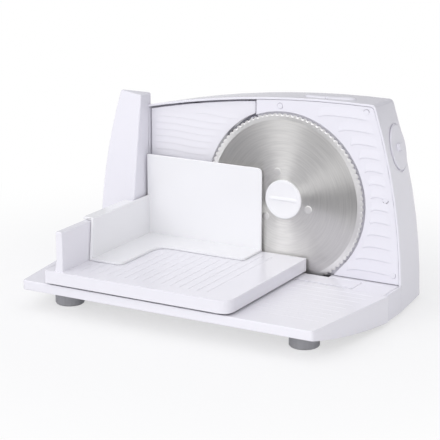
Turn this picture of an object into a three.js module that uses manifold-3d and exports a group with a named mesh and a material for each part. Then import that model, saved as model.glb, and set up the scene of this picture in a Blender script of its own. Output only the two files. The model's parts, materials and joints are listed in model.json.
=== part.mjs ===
// Household electric food slicer, in millimetres.
// +X is the carriage travel to the right, +Y is the rear, +Z is up, and Z = 0 is the table.
import * as THREE from 'three';
import { mergeVertices } from 'three/addons/utils/BufferGeometryUtils.js';
import Module from 'manifold-3d';

const wasm = await Module();
wasm.setup();

// Clearances and walls shared by the whole machine
const seatGap = 0.3;
const turnGap = 0.4;
const wall = 2.5;
const cutReach = 8;
const far = 400;

// Base tray
const trayFrontY = -126.5;
const trayRearY = 14.5;
const trayFrontHalf = 174;
const trayRearHalf = 193.5;
const trayCorner = 4;
const deckZ = 33.5;
const deckThickness = 3;
const trayFrontThickness = 10.4;
const bellyZ = 4;
const bellyTangentY = 30;
const bossRadius = 17;
const coverBossX = 150;
const coverBossYs = [30, 112];
const coverBossRadius = 5;
const deckRibCount = 9;
const deckRibPitch = 12.5;
const deckRibFirstY = -96;
const deckRibWidth = 2.4;
const deckRibHeight = 0.5;
const deckRibSideMargin = 10;

// Feet
const frontFootX = 143.2;
const frontFootY = -82;
const frontFootRadius = 16;
const frontFootHeight = 13.6;
const rearFootX = 140;
const rearFootY = 95;
const rearFootRadius = 12;
const stemRadius = 4;
const stemHeight = 9;

// Carriage guide in the deck
const grooveY = 20;
const grooveWidth = 2.4;
const grooveDepth = 4;
const railLeftX = -118;
const railRightX = 148.8;
const railThickness = 2.2;
const railFloor = 3;
const slotFrontY = 44.25;
const slotRearY = 58;
const slotMargin = 4;

// Tower outline seen from the front: two side arcs and a long top arc
const sideFootX = 188.8;
const sideFootZ = 36.6;
const sideTopX = 154;
const sideSagitta = 7.3;
const topRadius = 1120;
const topApexX = 122;
const topApexZ = 224.4;
const rimWidth = 2.4;
const towerCorner = 5;

// Tower in depth
const rimY = 50.6;
const rearY = 129.5;
const rearCorner = 10;
const upperDraft = 8;
const lowerDraft = 4;
const fullDraftZ = 180;

// Slice chute through the tower, with the drive room on its right
const chuteLeftX = -122;
const chuteRightX = 8;
const chuteTopZ = 160;
const dividerNotchGap = 3;
const dividerNotchY = 86;

// Left pillar
const pillarRightX = -122.6;
const pillarRearY = 57.5;
const pillarTopZ = 212.8;
const pillarFootRidgeY = 10.5;
const pillarTopRidgeY = 35.9;
const pillarBow = 1;
const pillarEdgeDepth = 4;
const pillarSteps = 8;

// Blade
const bladeX = 51;
const bladeZ = 112;
const bladeRadius = 95;
const bladeFrontY = 49.3;
const bladeThickness = 1.2;
const bevelWidth = 7;
const scallopCount = 96;
const scallopDepth = 1.3;
const bladeBore = 13;
const rivetCircle = 31;
const rivetRadius = 4.5;
const rivetHoleRadius = 2.6;
const rivetCount = 3;
const rivetFirstAngle = 105;
const rivetHead = 0.7;

// Blade lock knob
const knobRadius = 21.75;
const knobProud = 2.5;
const knobShankRadius = 11;
const knobShankLength = 10;
const knobEdge = 1;
const knobRim = 3;
const ridgeHalfWidth = 1.6;
const scoopDepth = 1.4;

// Worm drive
const gearModule = 2;
const gearTeeth = 36;
const gearMidY = 78.5;
const gearWidth = 12;
const toothRoot = 2.5;
const toothTip = 1.8;
const toothRootHalf = 0.056;
const toothTipHalf = 0.0175;
const threadRootHalf = 0.2;
const threadTipStart = 0.42;
const gearSocketWall = 7;
const gearFlangeRadius = 38.5;
const gearFlangeThickness = 3;
const gearHubRadius = 17;
const axleRadius = 5;
const axleRearY = 104;
const wormRadius = 8;
const wormLength = 32;
const wormSteps = 7;
const wormSides = 10;
const motorShaftRadius = 3;
const motorRadius = 20;
const motorLeftX = 88;
const motorLength = 62;
const motorCapLength = 9;
const bushLength = 8;
const bushRadius = 6;
const cradleHalf = 19;
const cradleMargin = 9;
const cradleRib = 4;
const cradleFloor = 3;

// Gearbox bracket
const bracketY = 88;
const bracketThickness = 4;
const bracketHalfWidth = 33;
const bracketHalfHeight = 30;
const bracketCorner = 10;
const bracketBossRadius = 11;
const bracketPostRadius = 5;
const bushArmWidth = 7.4;

// Front panel
const panelFrontY = 51.1;
const panelThickness = 2.5;
const panelLeftX = 15.5;
const panelFootZ = 36.6;
const recessGap = 1.7;
const recessFloorY = 54.5;
const gearHoleRadius = 41;
const panelRibCount = 13;
const panelRibPitch = 13.8;
const panelRibFirstZ = 42.5;
const panelRibHeight = 0.5;
const panelRibWidth = 1.6;
const panelRibBow = 3;
const panelRibMargin = 5;
const plugRadius = 3;
const plugHead = 0.6;
const plugDepth = 2;
const plugPlaces = [[44.4, 214.5], [146.3, 217.6], [170.6, 125.5], [181.6, 44]];

// Fence that sets the slice thickness
const fenceLeftX = -120.5;
const fenceRightX = 12.5;
const fenceFootZ = 35;
const fenceGap = 3.5;
const fenceFrontY = 55;
const fenceDepth = 12;
const fenceWaveCount = 13;
const fenceWavePitch = 13;
const fenceWaveFirstZ = 43;
const fenceWaveHeight = 0.5;
const fenceWaveWidth = 1.6;
const fenceWaveBow = 2.2;
const fenceWaveMargin = 2.5;
const fenceWaveStart = 4;
const fenceRodLeftX = -100;
const fenceRodRightX = -22;
const fenceRodDrop = 19;
const fenceRodRadius = 3;
const fenceRodFrontY = 71;
const fenceBushRadius = 6;
const fenceBushRearY = 86;
const fenceBushFloorY = 58;
const rearBushFrontY = 100;

// Fence arm and thickness dial
const dialY = 94.5;
const dialZ = 174;
const dialRadius = 25;
const dialThickness = 4;
const dialEdge = 1;
const dialRecess = 1.3;
const dialRecessGap = 1.6;
const gripHalfWidth = 4;
const gripHeight = 3;
const gripMargin = 2;
const gripCorner = 3;
const dialHubRadius = 9;
const dialKeyHalf = 3;
const camRadius = 28;
const camThickness = 6;
const camGap = 1.1;
const camGrooveDepth = 4;
const camGrooveHalf = 2.3;
const fencePerRadian = 1 / 0.3272;
const fenceForward = 4;
const fenceBack = 12;
const camRestRadius = 19;
const pinRadius = 1.5;
const pinTipGap = 2;
const pinReach = 7.4;
const pinHold = 1.2;
const armLeftX = -58;
const armFrontY = 71.9;
const armThickness = 4;
const armDrop = 7.5;
const armHeight = 9.5;
const armBossWidth = 22;

// Switch on the top
const switchX = 92;
const switchY = 77;
const rockerLength = 60;
const rockerWidth = 22;
const rockerEdge = 0.5;
const rockerCrown = 2.2;
const rockerCrownInset = 8;
const rockerCrownSteps = 3;
const rockerDepth = 3;
const rockerGap = 1.1;
const rockerNotch = 2.2;
const rockerNotchDepth = 1;
const rockerKeelHalf = 6;
const rockerPivotDepth = 8;
const rockerPinRadius = 2;
const rockerPinLength = 19.6;
const switchBodyLength = 76;
const switchBodyWidth = 20;
const switchBodyDepth = 14;
const switchBodyHeight = 10;
const switchLeg = 4;

// Food carriage
const carriageLeftX = -143.5;
const carriageRightX = 81.2;
const carriageFrontY = -129.5;
const carriageRearY = 46.1;
const carriageBottomZ = 36;
const carriageTopZ = 50;
const carriageCorner = 14;
const carriageSmallCorner = 3;
const endWallLeftX = -129.2;
const endWallRightX = -121.1;
const endWallTopZ = 93.5;
const endWallRearY = 9;
const endWallFlare = 2.5;
const endWallFlareHeight = 11;
const carriageGrooveCount = 15;
const carriageGroovePitch = 11;
const carriageGrooveFirstX = -108;
const carriageGrooveWidth = 1.6;
const carriageGrooveDepth = 0.6;
const carriageGrooveFrontY = -112;
const carriageGrooveRearY = 30;
const keyLength = 100;
const keyLeftX = -100;
const keyThickness = 1.6;
const padLength = 16;
const padWidth = 7;

// Pusher with its hand guard
const pusherRightX = 26.4;
const pusherPlateThickness = 2.4;
const pusherRearGap = 0.2;
const pusherTopZ = 144.6;
const pusherTopCorner = 6;
const pusherWallThickness = 2.7;
const pusherWallGap = 0.8;
const pusherWallFrontY = -71.5;
const pusherFloorThickness = 2.2;
const pusherFloorGap = 0.4;
const pusherLipThickness = 2.9;
const pusherLipLeftX = -131.2;
const pusherLipRearY = 13;
const pusherLipGap = 0.5;
const pusherWallLean = 5;
const flangeTongueWidth = 38;
const flangeTongueCorner = 9;
const flangeBayCorner = 16;
const flangeDepth = 40;
const flangeCorner = 4;

// Colours and finishes
const finishes = {
  shell: { color: 0xebeaf3, roughness: 0.28, metalness: 0 },
  tray: { color: 0xf0eff6, roughness: 0.25, metalness: 0 },
  guard: { color: 0xf6f6fa, roughness: 0.22, metalness: 0 },
  steel: { color: 0xc9c9cb, roughness: 0.3, metalness: 1 },
  gear: { color: 0xe6e2d6, roughness: 0.5, metalness: 0 },
  rubber: { color: 0x9a9aa0, roughness: 0.8, metalness: 0 },
  zinc: { color: 0xa5a7aa, roughness: 0.4, metalness: 1 },
  bronze: { color: 0xb08d4f, roughness: 0.45, metalness: 1 },
};

// Solids from three.js geometry
const axisX = new THREE.Vector3(1, 0, 0);
const axisY = new THREE.Vector3(0, 1, 0);
const axisZ = new THREE.Vector3(0, 0, 1);
const lie = {
  x: new THREE.Matrix4().makeBasis(axisY, axisZ, axisX),
  y: new THREE.Matrix4().makeBasis(axisX, axisZ, axisY.clone().negate()),
  z: new THREE.Matrix4(),
};

function toSolid(geometry) {
  const bare = new THREE.BufferGeometry();
  bare.setAttribute('position', geometry.attributes.position);
  bare.setIndex(geometry.index);
  const merged = mergeVertices(bare, 1e-4);
  const corner = (i) => new THREE.Vector3().fromBufferAttribute(merged.attributes.position, i);
  const index = merged.index.array;
  const triangles = [];
  let volume = 0;
  for (let i = 0; i < index.length; i += 3) {
    const [a, b, c] = [index[i], index[i + 1], index[i + 2]];
    if (a === b || b === c || c === a) continue;
    triangles.push([a, b, c]);
    volume += corner(a).dot(corner(b).cross(corner(c)));
  }
  if (volume < 0) triangles.forEach((triangle) => triangle.reverse());
  return new wasm.Manifold(new wasm.Mesh({
    numProp: 3,
    vertProperties: Float32Array.from(merged.attributes.position.array),
    triVerts: Uint32Array.from(triangles.flat()),
  }));
}

function toGeometry(solid) {
  const mesh = solid.getMesh();
  const geometry = new THREE.BufferGeometry();
  geometry.setAttribute('position', new THREE.BufferAttribute(mesh.vertProperties, 3));
  geometry.setIndex(new THREE.BufferAttribute(mesh.triVerts, 1));
  geometry.computeVertexNormals();
  return geometry;
}

// A prism of an outline: along x the outline is (Y, Z), along y it is (X, Z), along z it is (X, Y)
function prism(axis, outline, from, to, place = new THREE.Matrix4()) {
  const shape = outline instanceof THREE.Shape ? outline : new THREE.Shape(outline);
  const geometry = new THREE.ExtrudeGeometry(shape, { depth: to - from, bevelEnabled: false, curveSegments: 5 });
  geometry.translate(0, 0, axis === 'y' ? -to : from);
  return toSolid(geometry.applyMatrix4(lie[axis]).applyMatrix4(place));
}

function block(x0, x1, y0, y1, z0, z1, place = new THREE.Matrix4()) {
  const geometry = new THREE.BoxGeometry(x1 - x0, y1 - y0, z1 - z0);
  geometry.translate((x0 + x1) / 2, (y0 + y1) / 2, (z0 + z1) / 2);
  return toSolid(geometry.applyMatrix4(place));
}

function circle(u, v, radius, sides = 24) {
  const points = [];
  for (let i = 0; i < sides; i += 1) {
    const angle = (2 * Math.PI * i) / sides;
    points.push(new THREE.Vector2(u + radius * Math.cos(angle), v + radius * Math.sin(angle)));
  }
  return points;
}

function rod(axis, u, v, radius, from, to, sides = 24, place = new THREE.Matrix4()) {
  return prism(axis, circle(u, v, radius, sides), from, to, place);
}

// An outline with rounded corners; each corner is [u, v, radius]
function rounded(corners) {
  const shape = new THREE.Shape();
  const count = corners.length;
  corners.forEach(([u, v, radius], i) => {
    const here = new THREE.Vector2(u, v);
    const before = new THREE.Vector2(...corners[(i + count - 1) % count]).sub(here).normalize();
    const after = new THREE.Vector2(...corners[(i + 1) % count]).sub(here).normalize();
    const half = Math.acos(THREE.MathUtils.clamp(before.dot(after), -1, 1)) / 2;
    const reach = radius / Math.tan(half);
    const start = here.clone().addScaledVector(before, reach);
    const end = here.clone().addScaledVector(after, reach);
    if (i === 0) shape.moveTo(start.x, start.y);
    else shape.lineTo(start.x, start.y);
    if (radius > 0) shape.quadraticCurveTo(u, v, end.x, end.y);
  });
  shape.closePath();
  return shape;
}

// A skin over rings of equal length, closed by a flat cap at each end
function loft(rings) {
  const size = rings[0].length;
  const positions = rings.flat().flatMap((point) => [point.x, point.y, point.z]);
  const index = [];
  for (let ring = 0; ring + 1 < rings.length; ring += 1) {
    for (let i = 0; i < size; i += 1) {
      const a = ring * size + i;
      const b = ring * size + ((i + 1) % size);
      index.push(a, b, b + size, a, b + size, a + size);
    }
  }
  [0, rings.length - 1].forEach((ring) => {
    const points = rings[ring];
    const edges = [points[0], points[Math.floor(size / 3)], points[Math.floor((2 * size) / 3)]];
    const normal = edges[1].clone().sub(edges[0]).cross(edges[2].clone().sub(edges[0])).normalize();
    const right = edges[1].clone().sub(edges[0]).normalize();
    const up = normal.clone().cross(right);
    const flat = points.map((point) => new THREE.Vector2(point.dot(right), point.dot(up)));
    const flip = ring === 0;
    THREE.ShapeUtils.triangulateShape(flat, []).forEach(([a, b, c]) => {
      const face = [a, b, c].map((i) => i + ring * size);
      index.push(...(flip ? face.reverse() : face));
    });
  });
  const geometry = new THREE.BufferGeometry();
  geometry.setAttribute('position', new THREE.Float32BufferAttribute(positions, 3));
  geometry.setIndex(index);
  return toSolid(geometry);
}

function revolve(axis, profile, u, v, sides = 32) {
  const geometry = new THREE.LatheGeometry(profile.map(([r, along]) => new THREE.Vector2(r, along)), sides);
  geometry.applyMatrix4(new THREE.Matrix4().makeRotationX(Math.PI / 2));
  geometry.translate(u, v, 0);
  if (axis === 'y') geometry.scale(1, 1, -1);
  return toSolid(geometry.applyMatrix4(lie[axis]));
}

const slicer = new THREE.Group();
slicer.name = 'food_slicer';

function add(name, solid, finish) {
  const mesh = new THREE.Mesh(toGeometry(solid), new THREE.MeshStandardMaterial(finishes[finish]));
  mesh.name = name;
  slicer.add(mesh);
  return mesh;
}

// Tower outline: arcs found from the driving points
const topCentreZ = topApexZ - topRadius;
const topLine = (x, grow) => topCentreZ + Math.sqrt((topRadius + grow) ** 2 - (x - topApexX) ** 2);
const sideFoot = new THREE.Vector2(sideFootX, sideFootZ);
const sideTop = new THREE.Vector2(sideTopX, topLine(sideTopX, 0));
const sideChord = sideTop.clone().sub(sideFoot);
const sideRadius = sideChord.length() ** 2 / (8 * sideSagitta) + sideSagitta / 2;
const sideCentre = sideFoot.clone().add(sideTop).multiplyScalar(0.5).addScaledVector(
  new THREE.Vector2(-sideChord.y, sideChord.x).normalize(),
  sideRadius - sideSagitta,
);
const sideLine = (z, grow) => sideCentre.x + Math.sqrt((sideRadius + grow) ** 2 - (z - sideCentre.y) ** 2);

function draftAt(z, depth) {
  const share = THREE.MathUtils.clamp((z - bellyZ) / (fullDraftZ - bellyZ), 0, 1);
  const angle = THREE.MathUtils.lerp(lowerDraft, upperDraft, share);
  return Math.max(depth, 0) * Math.tan(THREE.MathUtils.degToRad(angle));
}

// The outline grown by an amount and drawn in by the draft at a depth behind the rim
function towerOutline(grow, depth, bottomZ) {
  const side = (z, extra) => sideLine(z, grow + extra) - draftAt(z, depth);
  const top = (x, extra) => topLine(x, grow + extra - draftAt(fullDraftZ, depth));
  const points = [];
  const cornerSteps = 4;
  const sideSteps = 7;
  const topSteps = 10;
  const corners = [1, -1].map((hand) => {
    const centre = new THREE.Vector2(hand * sideTopX, topApexZ);
    for (let i = 0; i < 30; i += 1) {
      centre.y = top(centre.x, -towerCorner);
      centre.x = hand * side(centre.y, -towerCorner);
    }
    const fromTop = Math.atan2(centre.y - topCentreZ, centre.x - topApexX);
    const fromSide = Math.asin((centre.y - sideCentre.y) / (sideRadius + grow));
    return { centre, fromTop, fromSide: hand > 0 ? fromSide : Math.PI - fromSide };
  });
  const walkCorner = ({ centre }, start, end) => {
    for (let i = 0; i <= cornerSteps; i += 1) {
      const angle = THREE.MathUtils.lerp(start, end, i / cornerSteps);
      points.push(new THREE.Vector2(Math.cos(angle), Math.sin(angle)).multiplyScalar(towerCorner).add(centre));
    }
  };
  const walkSide = (hand, fromZ, toZ) => {
    for (let i = 0; i < sideSteps; i += 1) {
      const z = THREE.MathUtils.lerp(fromZ, toZ, i / sideSteps);
      points.push(new THREE.Vector2(hand * side(z, 0), z));
    }
  };
  const [right, left] = corners;
  const cornerTopZ = ({ centre, fromSide }) => centre.y + towerCorner * Math.sin(fromSide);
  walkSide(1, bottomZ, cornerTopZ(right));
  walkCorner(right, right.fromSide, right.fromTop);
  const startX = points.at(-1).x;
  const endX = left.centre.x + towerCorner * Math.cos(left.fromTop);
  for (let i = 1; i < topSteps; i += 1) {
    const x = THREE.MathUtils.lerp(startX, endX, i / topSteps);
    points.push(new THREE.Vector2(x, top(x, 0)));
  }
  walkCorner(left, left.fromTop, left.fromSide);
  const leftSide = points.length;
  walkSide(-1, bottomZ, cornerTopZ(left));
  points.push(...points.splice(leftSide).reverse());
  return points;
}

// The tower as a solid: straight to the rim, drafted behind it and rounded at the rear
function towerSolid(grow, frontY, endY, bottomZ, corner) {
  const stations = [[frontY, 0]];
  if (frontY < rimY && endY > rimY) stations.push([rimY, 0]);
  const roundSteps = corner > 0 ? 3 : 1;
  for (let i = 0; i <= roundSteps; i += 1) {
    const angle = (Math.PI / 2) * (i / roundSteps);
    stations.push([endY - corner + corner * Math.sin(angle), corner * (1 - Math.cos(angle))]);
  }
  if (corner === 0) stations.pop();
  return loft(stations.map(([y, inset]) => towerOutline(grow - inset, y - rimY, bottomZ)
    .map((point) => new THREE.Vector3(point.x, y, point.y))));
}

// Base: a tray open below, with the deck running on under the tower
const trayHalfAt = (y) => THREE.MathUtils.mapLinear(y, trayFrontY, trayRearY, trayFrontHalf, trayRearHalf);
const bellyEdgeZ = deckZ - trayFrontThickness;
const bellyRadius = ((bellyTangentY - trayFrontY) ** 2 + (bellyEdgeZ - bellyZ) ** 2) / (2 * (bellyEdgeZ - bellyZ));
const bellyLine = (y) => bellyZ + bellyRadius - Math.sqrt(bellyRadius ** 2 - (y - bellyTangentY) ** 2);
const deckUnderZ = deckZ - deckThickness;
const underTowerGrow = rimWidth - wall - seatGap;
const underTowerRearY = rearY - wall - seatGap;
const underTowerCorner = rearCorner - wall;

function trayOutline(inset) {
  const frontHalf = trayHalfAt(trayFrontY + inset) - inset;
  const rearHalf = trayHalfAt(trayRearY - inset) - inset;
  const front = trayFrontY + inset;
  const rear = trayRearY - inset;
  const corner = Math.max(trayCorner - inset, 0.5);
  return rounded([[-frontHalf, front, corner], [frontHalf, front, corner], [rearHalf, rear, 1], [-rearHalf, rear, 1]]);
}

function bellyProfile() {
  const points = [new THREE.Vector2(trayFrontY - 1, deckZ), new THREE.Vector2(trayFrontY - 1, bellyEdgeZ)];
  const steps = 14;
  for (let i = 0; i <= steps; i += 1) {
    const y = THREE.MathUtils.lerp(trayFrontY, trayRearY + 1, i / steps);
    points.push(new THREE.Vector2(y, bellyLine(y)));
  }
  points.push(new THREE.Vector2(trayRearY + 1, deckZ));
  return points;
}

const frontFootPlaces = [['left', -frontFootX], ['right', frontFootX]];
const slotHalf = Math.sqrt(bladeRadius ** 2 - (bladeZ - deckZ) ** 2) + slotMargin;
const coverTopZ = bellyZ + wall;

function makeBase() {
  let base = prism('z', trayOutline(0), 0, deckZ).intersect(prism('x', bellyProfile(), -far, far));
  base = base.subtract(prism('z', trayOutline(wall), -1, deckUnderZ));
  const underTower = towerSolid(underTowerGrow, trayRearY - wall, underTowerRearY, -10, underTowerCorner);
  base = base.add(underTower.intersect(block(-far, far, trayRearY - wall, rearY, deckUnderZ, deckZ)));
  for (const [, x] of frontFootPlaces) {
    base = base.add(rod('z', x, frontFootY, bossRadius, frontFootHeight + seatGap, deckUnderZ + 1));
    base = base.subtract(rod('z', x, frontFootY, stemRadius + seatGap, 0, frontFootHeight + stemHeight + 1));
  }
  for (const x of [-coverBossX, coverBossX]) {
    for (const y of coverBossYs) {
      base = base.add(rod('z', x, y, coverBossRadius, coverTopZ + seatGap, deckUnderZ + 1, 16));
    }
  }
  const railFrontY = grooveY + grooveWidth / 2;
  const pocketZ = deckZ - railThickness - seatGap;
  base = base.add(block(
    railLeftX - wall, railRightX + wall, grooveY - grooveWidth - wall, slotFrontY, pocketZ - railFloor, deckUnderZ + 1,
  ));
  base = base.subtract(block(
    railLeftX - seatGap, railRightX + seatGap, railFrontY - seatGap, slotFrontY + 1, pocketZ, deckZ + 1,
  ));
  base = base.subtract(block(
    railLeftX - seatGap, railRightX + seatGap, grooveY - grooveWidth / 2, railFrontY, deckZ - grooveDepth, deckZ + 1,
  ));
  base = base.subtract(block(bladeX - slotHalf, bladeX + slotHalf, slotFrontY, slotRearY, 0, deckZ + 1));
  for (let i = 0; i < deckRibCount; i += 1) {
    const y = deckRibFirstY + i * deckRibPitch;
    const end = trayHalfAt(y) - deckRibSideMargin;
    base = base.add(block(
      carriageRightX + deckRibSideMargin / 2, end, y, y + deckRibWidth, deckZ - 1, deckZ + deckRibHeight,
    ));
  }
  return base;
}
add('base', makeBase(), 'tray');

function makeGuideRail() {
  const railFrontY = grooveY + grooveWidth / 2;
  return block(railLeftX, railRightX, railFrontY, slotFrontY, deckZ - railThickness, deckZ);
}
add('guide_rail', makeGuideRail(), 'tray');

// Feet: a rubber pad with a stem that presses into its boss or cover
for (const [side, x] of frontFootPlaces) {
  const bevel = 1.5;
  add(`foot_front_${side}`, revolve('z', [
    [0, 0], [frontFootRadius - bevel, 0], [frontFootRadius, bevel], [frontFootRadius, frontFootHeight],
    [stemRadius, frontFootHeight], [stemRadius, frontFootHeight + stemHeight], [0, frontFootHeight + stemHeight],
  ], x, frontFootY, 20), 'rubber');
}
const rearFootHeight = bellyZ - seatGap;
for (const [side, x] of [['left', -rearFootX], ['right', rearFootX]]) {
  const bevel = 1;
  const stemTop = coverTopZ + 1;
  add(`foot_rear_${side}`, revolve('z', [
    [0, 0], [rearFootRadius - bevel, 0], [rearFootRadius, bevel], [rearFootRadius, rearFootHeight],
    [stemRadius, rearFootHeight], [stemRadius, stemTop], [0, stemTop],
  ], x, rearFootY, 14), 'rubber');
}

function makeBottomCover() {
  const plan = towerSolid(underTowerGrow, trayRearY + seatGap, underTowerRearY, -10, underTowerCorner);
  let cover = plan.intersect(block(-far, far, trayRearY, rearY, bellyZ, coverTopZ));
  for (const x of [-rearFootX, rearFootX]) {
    cover = cover.subtract(rod('z', x, rearFootY, stemRadius + seatGap, 0, far));
  }
  return cover;
}
add('bottom_cover', makeBottomCover(), 'shell');

// Places on the tower's skin: the dial on the right side and the switch on the top
function dialPlacement() {
  const draft = Math.atan(draftAt(dialZ, 1));
  const tilt = Math.asin((dialZ - sideCentre.y) / (sideRadius + rimWidth));
  const out = new THREE.Vector3(Math.cos(tilt) * Math.cos(draft), Math.sin(draft), Math.sin(tilt) * Math.cos(draft));
  const forward = axisY.clone().negate();
  forward.addScaledVector(out, -forward.dot(out)).normalize();
  const across = out.clone().cross(forward);
  const x = sideLine(dialZ, rimWidth) - draftAt(dialZ, dialY - rimY);
  return new THREE.Matrix4().makeBasis(forward, across, out).setPosition(x, dialY, dialZ);
}

function switchPlacement() {
  const draft = draftAt(fullDraftZ, switchY - rimY);
  const lean = -THREE.MathUtils.degToRad(upperDraft);
  const slope = -Math.atan((topApexX - switchX) / topRadius);
  const turn = new THREE.Matrix4().makeRotationFromEuler(new THREE.Euler(lean, slope, 0));
  return turn.setPosition(switchX, switchY, topLine(switchX, rimWidth - draft));
}

const dialPlace = dialPlacement();
const switchPlace = switchPlacement();
const camDepth = wall + camGap;
const armFootZ = dialZ - armDrop;
const fenceBayRadius = bladeRadius + fenceGap;
const dividerNotchZ = bladeZ + Math.sqrt(fenceBayRadius ** 2 - (bladeX - chuteRightX) ** 2) - dividerNotchGap;
const fenceRodXs = [['left', fenceRodLeftX], ['right', fenceRodRightX]];
const fenceRodZ = (x) => topLine(x, 0) - fenceRodDrop;

function ellipse(halfLength, halfWidth, sides = 36) {
  return circle(0, 0, 1, sides).map((point) => new THREE.Vector2(point.x * halfLength, point.y * halfWidth));
}

function makeRearShell() {
  const inner = towerSolid(rimWidth - wall, trayRearY - 1, rearY - wall, bellyZ - 10, rearCorner - wall);
  const skirt = towerSolid(rimWidth, trayRearY + seatGap, rimY + 1, bellyZ, 0);
  let shell = towerSolid(rimWidth, rimY, rearY, bellyZ, rearCorner);
  shell = shell.add(skirt.intersect(block(-far, far, trayRearY, rimY + 1, bellyZ, deckZ))).subtract(inner);
  let dividers = block(chuteRightX, chuteRightX + wall, rimY + wall, rearY - 1, deckZ + seatGap, far);
  dividers = dividers.subtract(block(0, far, 0, dividerNotchY, dividerNotchZ, far));
  dividers = dividers.subtract(block(
    0, far, armFrontY - fenceForward - 1, armFrontY + armThickness + fenceBack + 1,
    armFootZ - 1, armFootZ + armHeight + 1,
  ));
  dividers = dividers.add(block(chuteLeftX - wall, chuteLeftX, rimY, rearY - 1, deckZ + seatGap, far));
  shell = shell.add(dividers.intersect(towerSolid(rimWidth - wall / 2, rimY, rearY - 1, bellyZ, rearCorner - 1)));
  shell = shell.subtract(block(chuteLeftX, chuteRightX, rearY - 2 * rearCorner, rearY + 1, deckZ, chuteTopZ));
  shell = shell.subtract(block(-far, pillarRightX + seatGap, 0, pillarRearY + seatGap, deckZ, far));
  for (const [, x] of fenceRodXs) {
    const z = fenceRodZ(x);
    shell = shell.add(rod('y', x, z, fenceBushRadius, rearBushFrontY, rearY - wall / 2, 20));
    shell = shell.subtract(rod('y', x, z, fenceRodRadius + seatGap, 0, rearY - wall, 20));
  }
  shell = shell.subtract(rod('z', 0, 0, dialRadius + dialRecessGap, -dialRecess, cutReach, 32, dialPlace));
  shell = shell.subtract(rod('z', 0, 0, dialHubRadius + turnGap, -cutReach, cutReach, 24, dialPlace));
  const hole = ellipse(rockerLength / 2 + rockerGap, rockerWidth / 2 + rockerGap);
  return shell.subtract(prism('z', hole, -cutReach, cutReach, switchPlace));
}
add('rear_shell', makeRearShell(), 'shell');

// Left pillar: a hollow fin with a sharp raked ridge, open towards the column behind it
function pillarRing(z, inset) {
  const share = (z - deckZ) / (pillarTopZ - deckZ);
  const ridgeY = THREE.MathUtils.lerp(pillarFootRidgeY, pillarTopRidgeY, share) - 4 * pillarBow * share * (1 - share);
  const leftX = -sideLine(z, rimWidth) + inset;
  const rightX = pillarRightX - inset;
  const back = pillarRearY + (inset > 0 ? 1 : 0);
  const edgeY = pillarRearY - pillarEdgeDepth + inset;
  const plan = [[rightX, ridgeY + 2 * inset], [rightX, back], [leftX, back], [leftX, edgeY]];
  return plan.map(([x, y]) => new THREE.Vector3(x, y, z));
}

function makePillar() {
  const rings = (fromZ, toZ, inset) => {
    const list = [];
    for (let i = 0; i <= pillarSteps; i += 1) {
      list.push(pillarRing(THREE.MathUtils.lerp(fromZ, toZ, i / pillarSteps), inset));
    }
    return loft(list);
  };
  return rings(deckZ + seatGap, pillarTopZ, 0).subtract(rings(deckZ - 1, pillarTopZ - wall, wall));
}
add('left_pillar', makePillar(), 'shell');

// Front panel: a plate in the rim with a round recess for the blade
const recessRadius = bladeRadius + recessGap;
const panelGrow = rimWidth - wall - seatGap;

function crescent(startX, endX, z, bow, width) {
  const shape = new THREE.Shape();
  const middle = (startX + endX) / 2;
  shape.moveTo(startX, z);
  shape.quadraticCurveTo(middle, z + 2 * bow, endX, z);
  shape.quadraticCurveTo(middle, z + 2 * (bow + width), startX, z);
  return shape;
}

function makePanel() {
  const body = towerSolid(panelGrow, panelFrontY, recessFloorY + 5 * wall, panelFootZ, 0)
    .intersect(block(panelLeftX, far, 0, far, panelFootZ, far));
  const plate = block(-far, far, panelFrontY, panelFrontY + panelThickness, 0, far);
  const cup = rod('y', bladeX, bladeZ, recessRadius + wall, panelFrontY, recessFloorY + wall, 56);
  const flange = block(panelLeftX, panelLeftX + wall, panelFrontY, recessFloorY + 4 * wall, 0, far);
  let panel = body.intersect(plate.add(cup).add(flange));
  panel = panel.subtract(rod('y', bladeX, bladeZ, recessRadius, 0, recessFloorY, 56));
  panel = panel.subtract(rod('y', bladeX, bladeZ, gearHoleRadius, 0, far, 32));
  for (let i = 0; i < panelRibCount; i += 1) {
    const z = panelRibFirstZ + i * panelRibPitch;
    const reach = recessRadius + panelRibMargin;
    const dz = Math.min(Math.abs(z + panelRibBow / 2 - bladeZ), reach * 0.99);
    const startX = bladeX + Math.sqrt(reach ** 2 - dz ** 2);
    const endX = sideLine(z, 0) - panelRibMargin;
    const rib = crescent(startX, endX, z, panelRibBow, panelRibWidth);
    panel = panel.add(prism('y', rib, panelFrontY - panelRibHeight, panelFrontY + 1));
  }
  for (const [x, z] of plugPlaces) {
    panel = panel.subtract(rod('y', x, z, plugRadius + seatGap, 0, panelFrontY + plugDepth, 16));
  }
  return panel;
}
add('front_panel', makePanel(), 'shell');

plugPlaces.forEach(([x, z], i) => {
  const plug = rod('y', x, z, plugRadius, panelFrontY - plugHead, panelFrontY + plugDepth - seatGap, 16);
  add(`panel_plug_${i + 1}`, plug, 'shell');
});

// Fence: a pan open to the rear with a round bay for the blade, bushes for its rods and a boss for its arm
const fenceTopGap = draftAt(fullDraftZ, fenceFrontY + fenceBack - rimY) + wall - rimWidth + seatGap;

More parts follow.
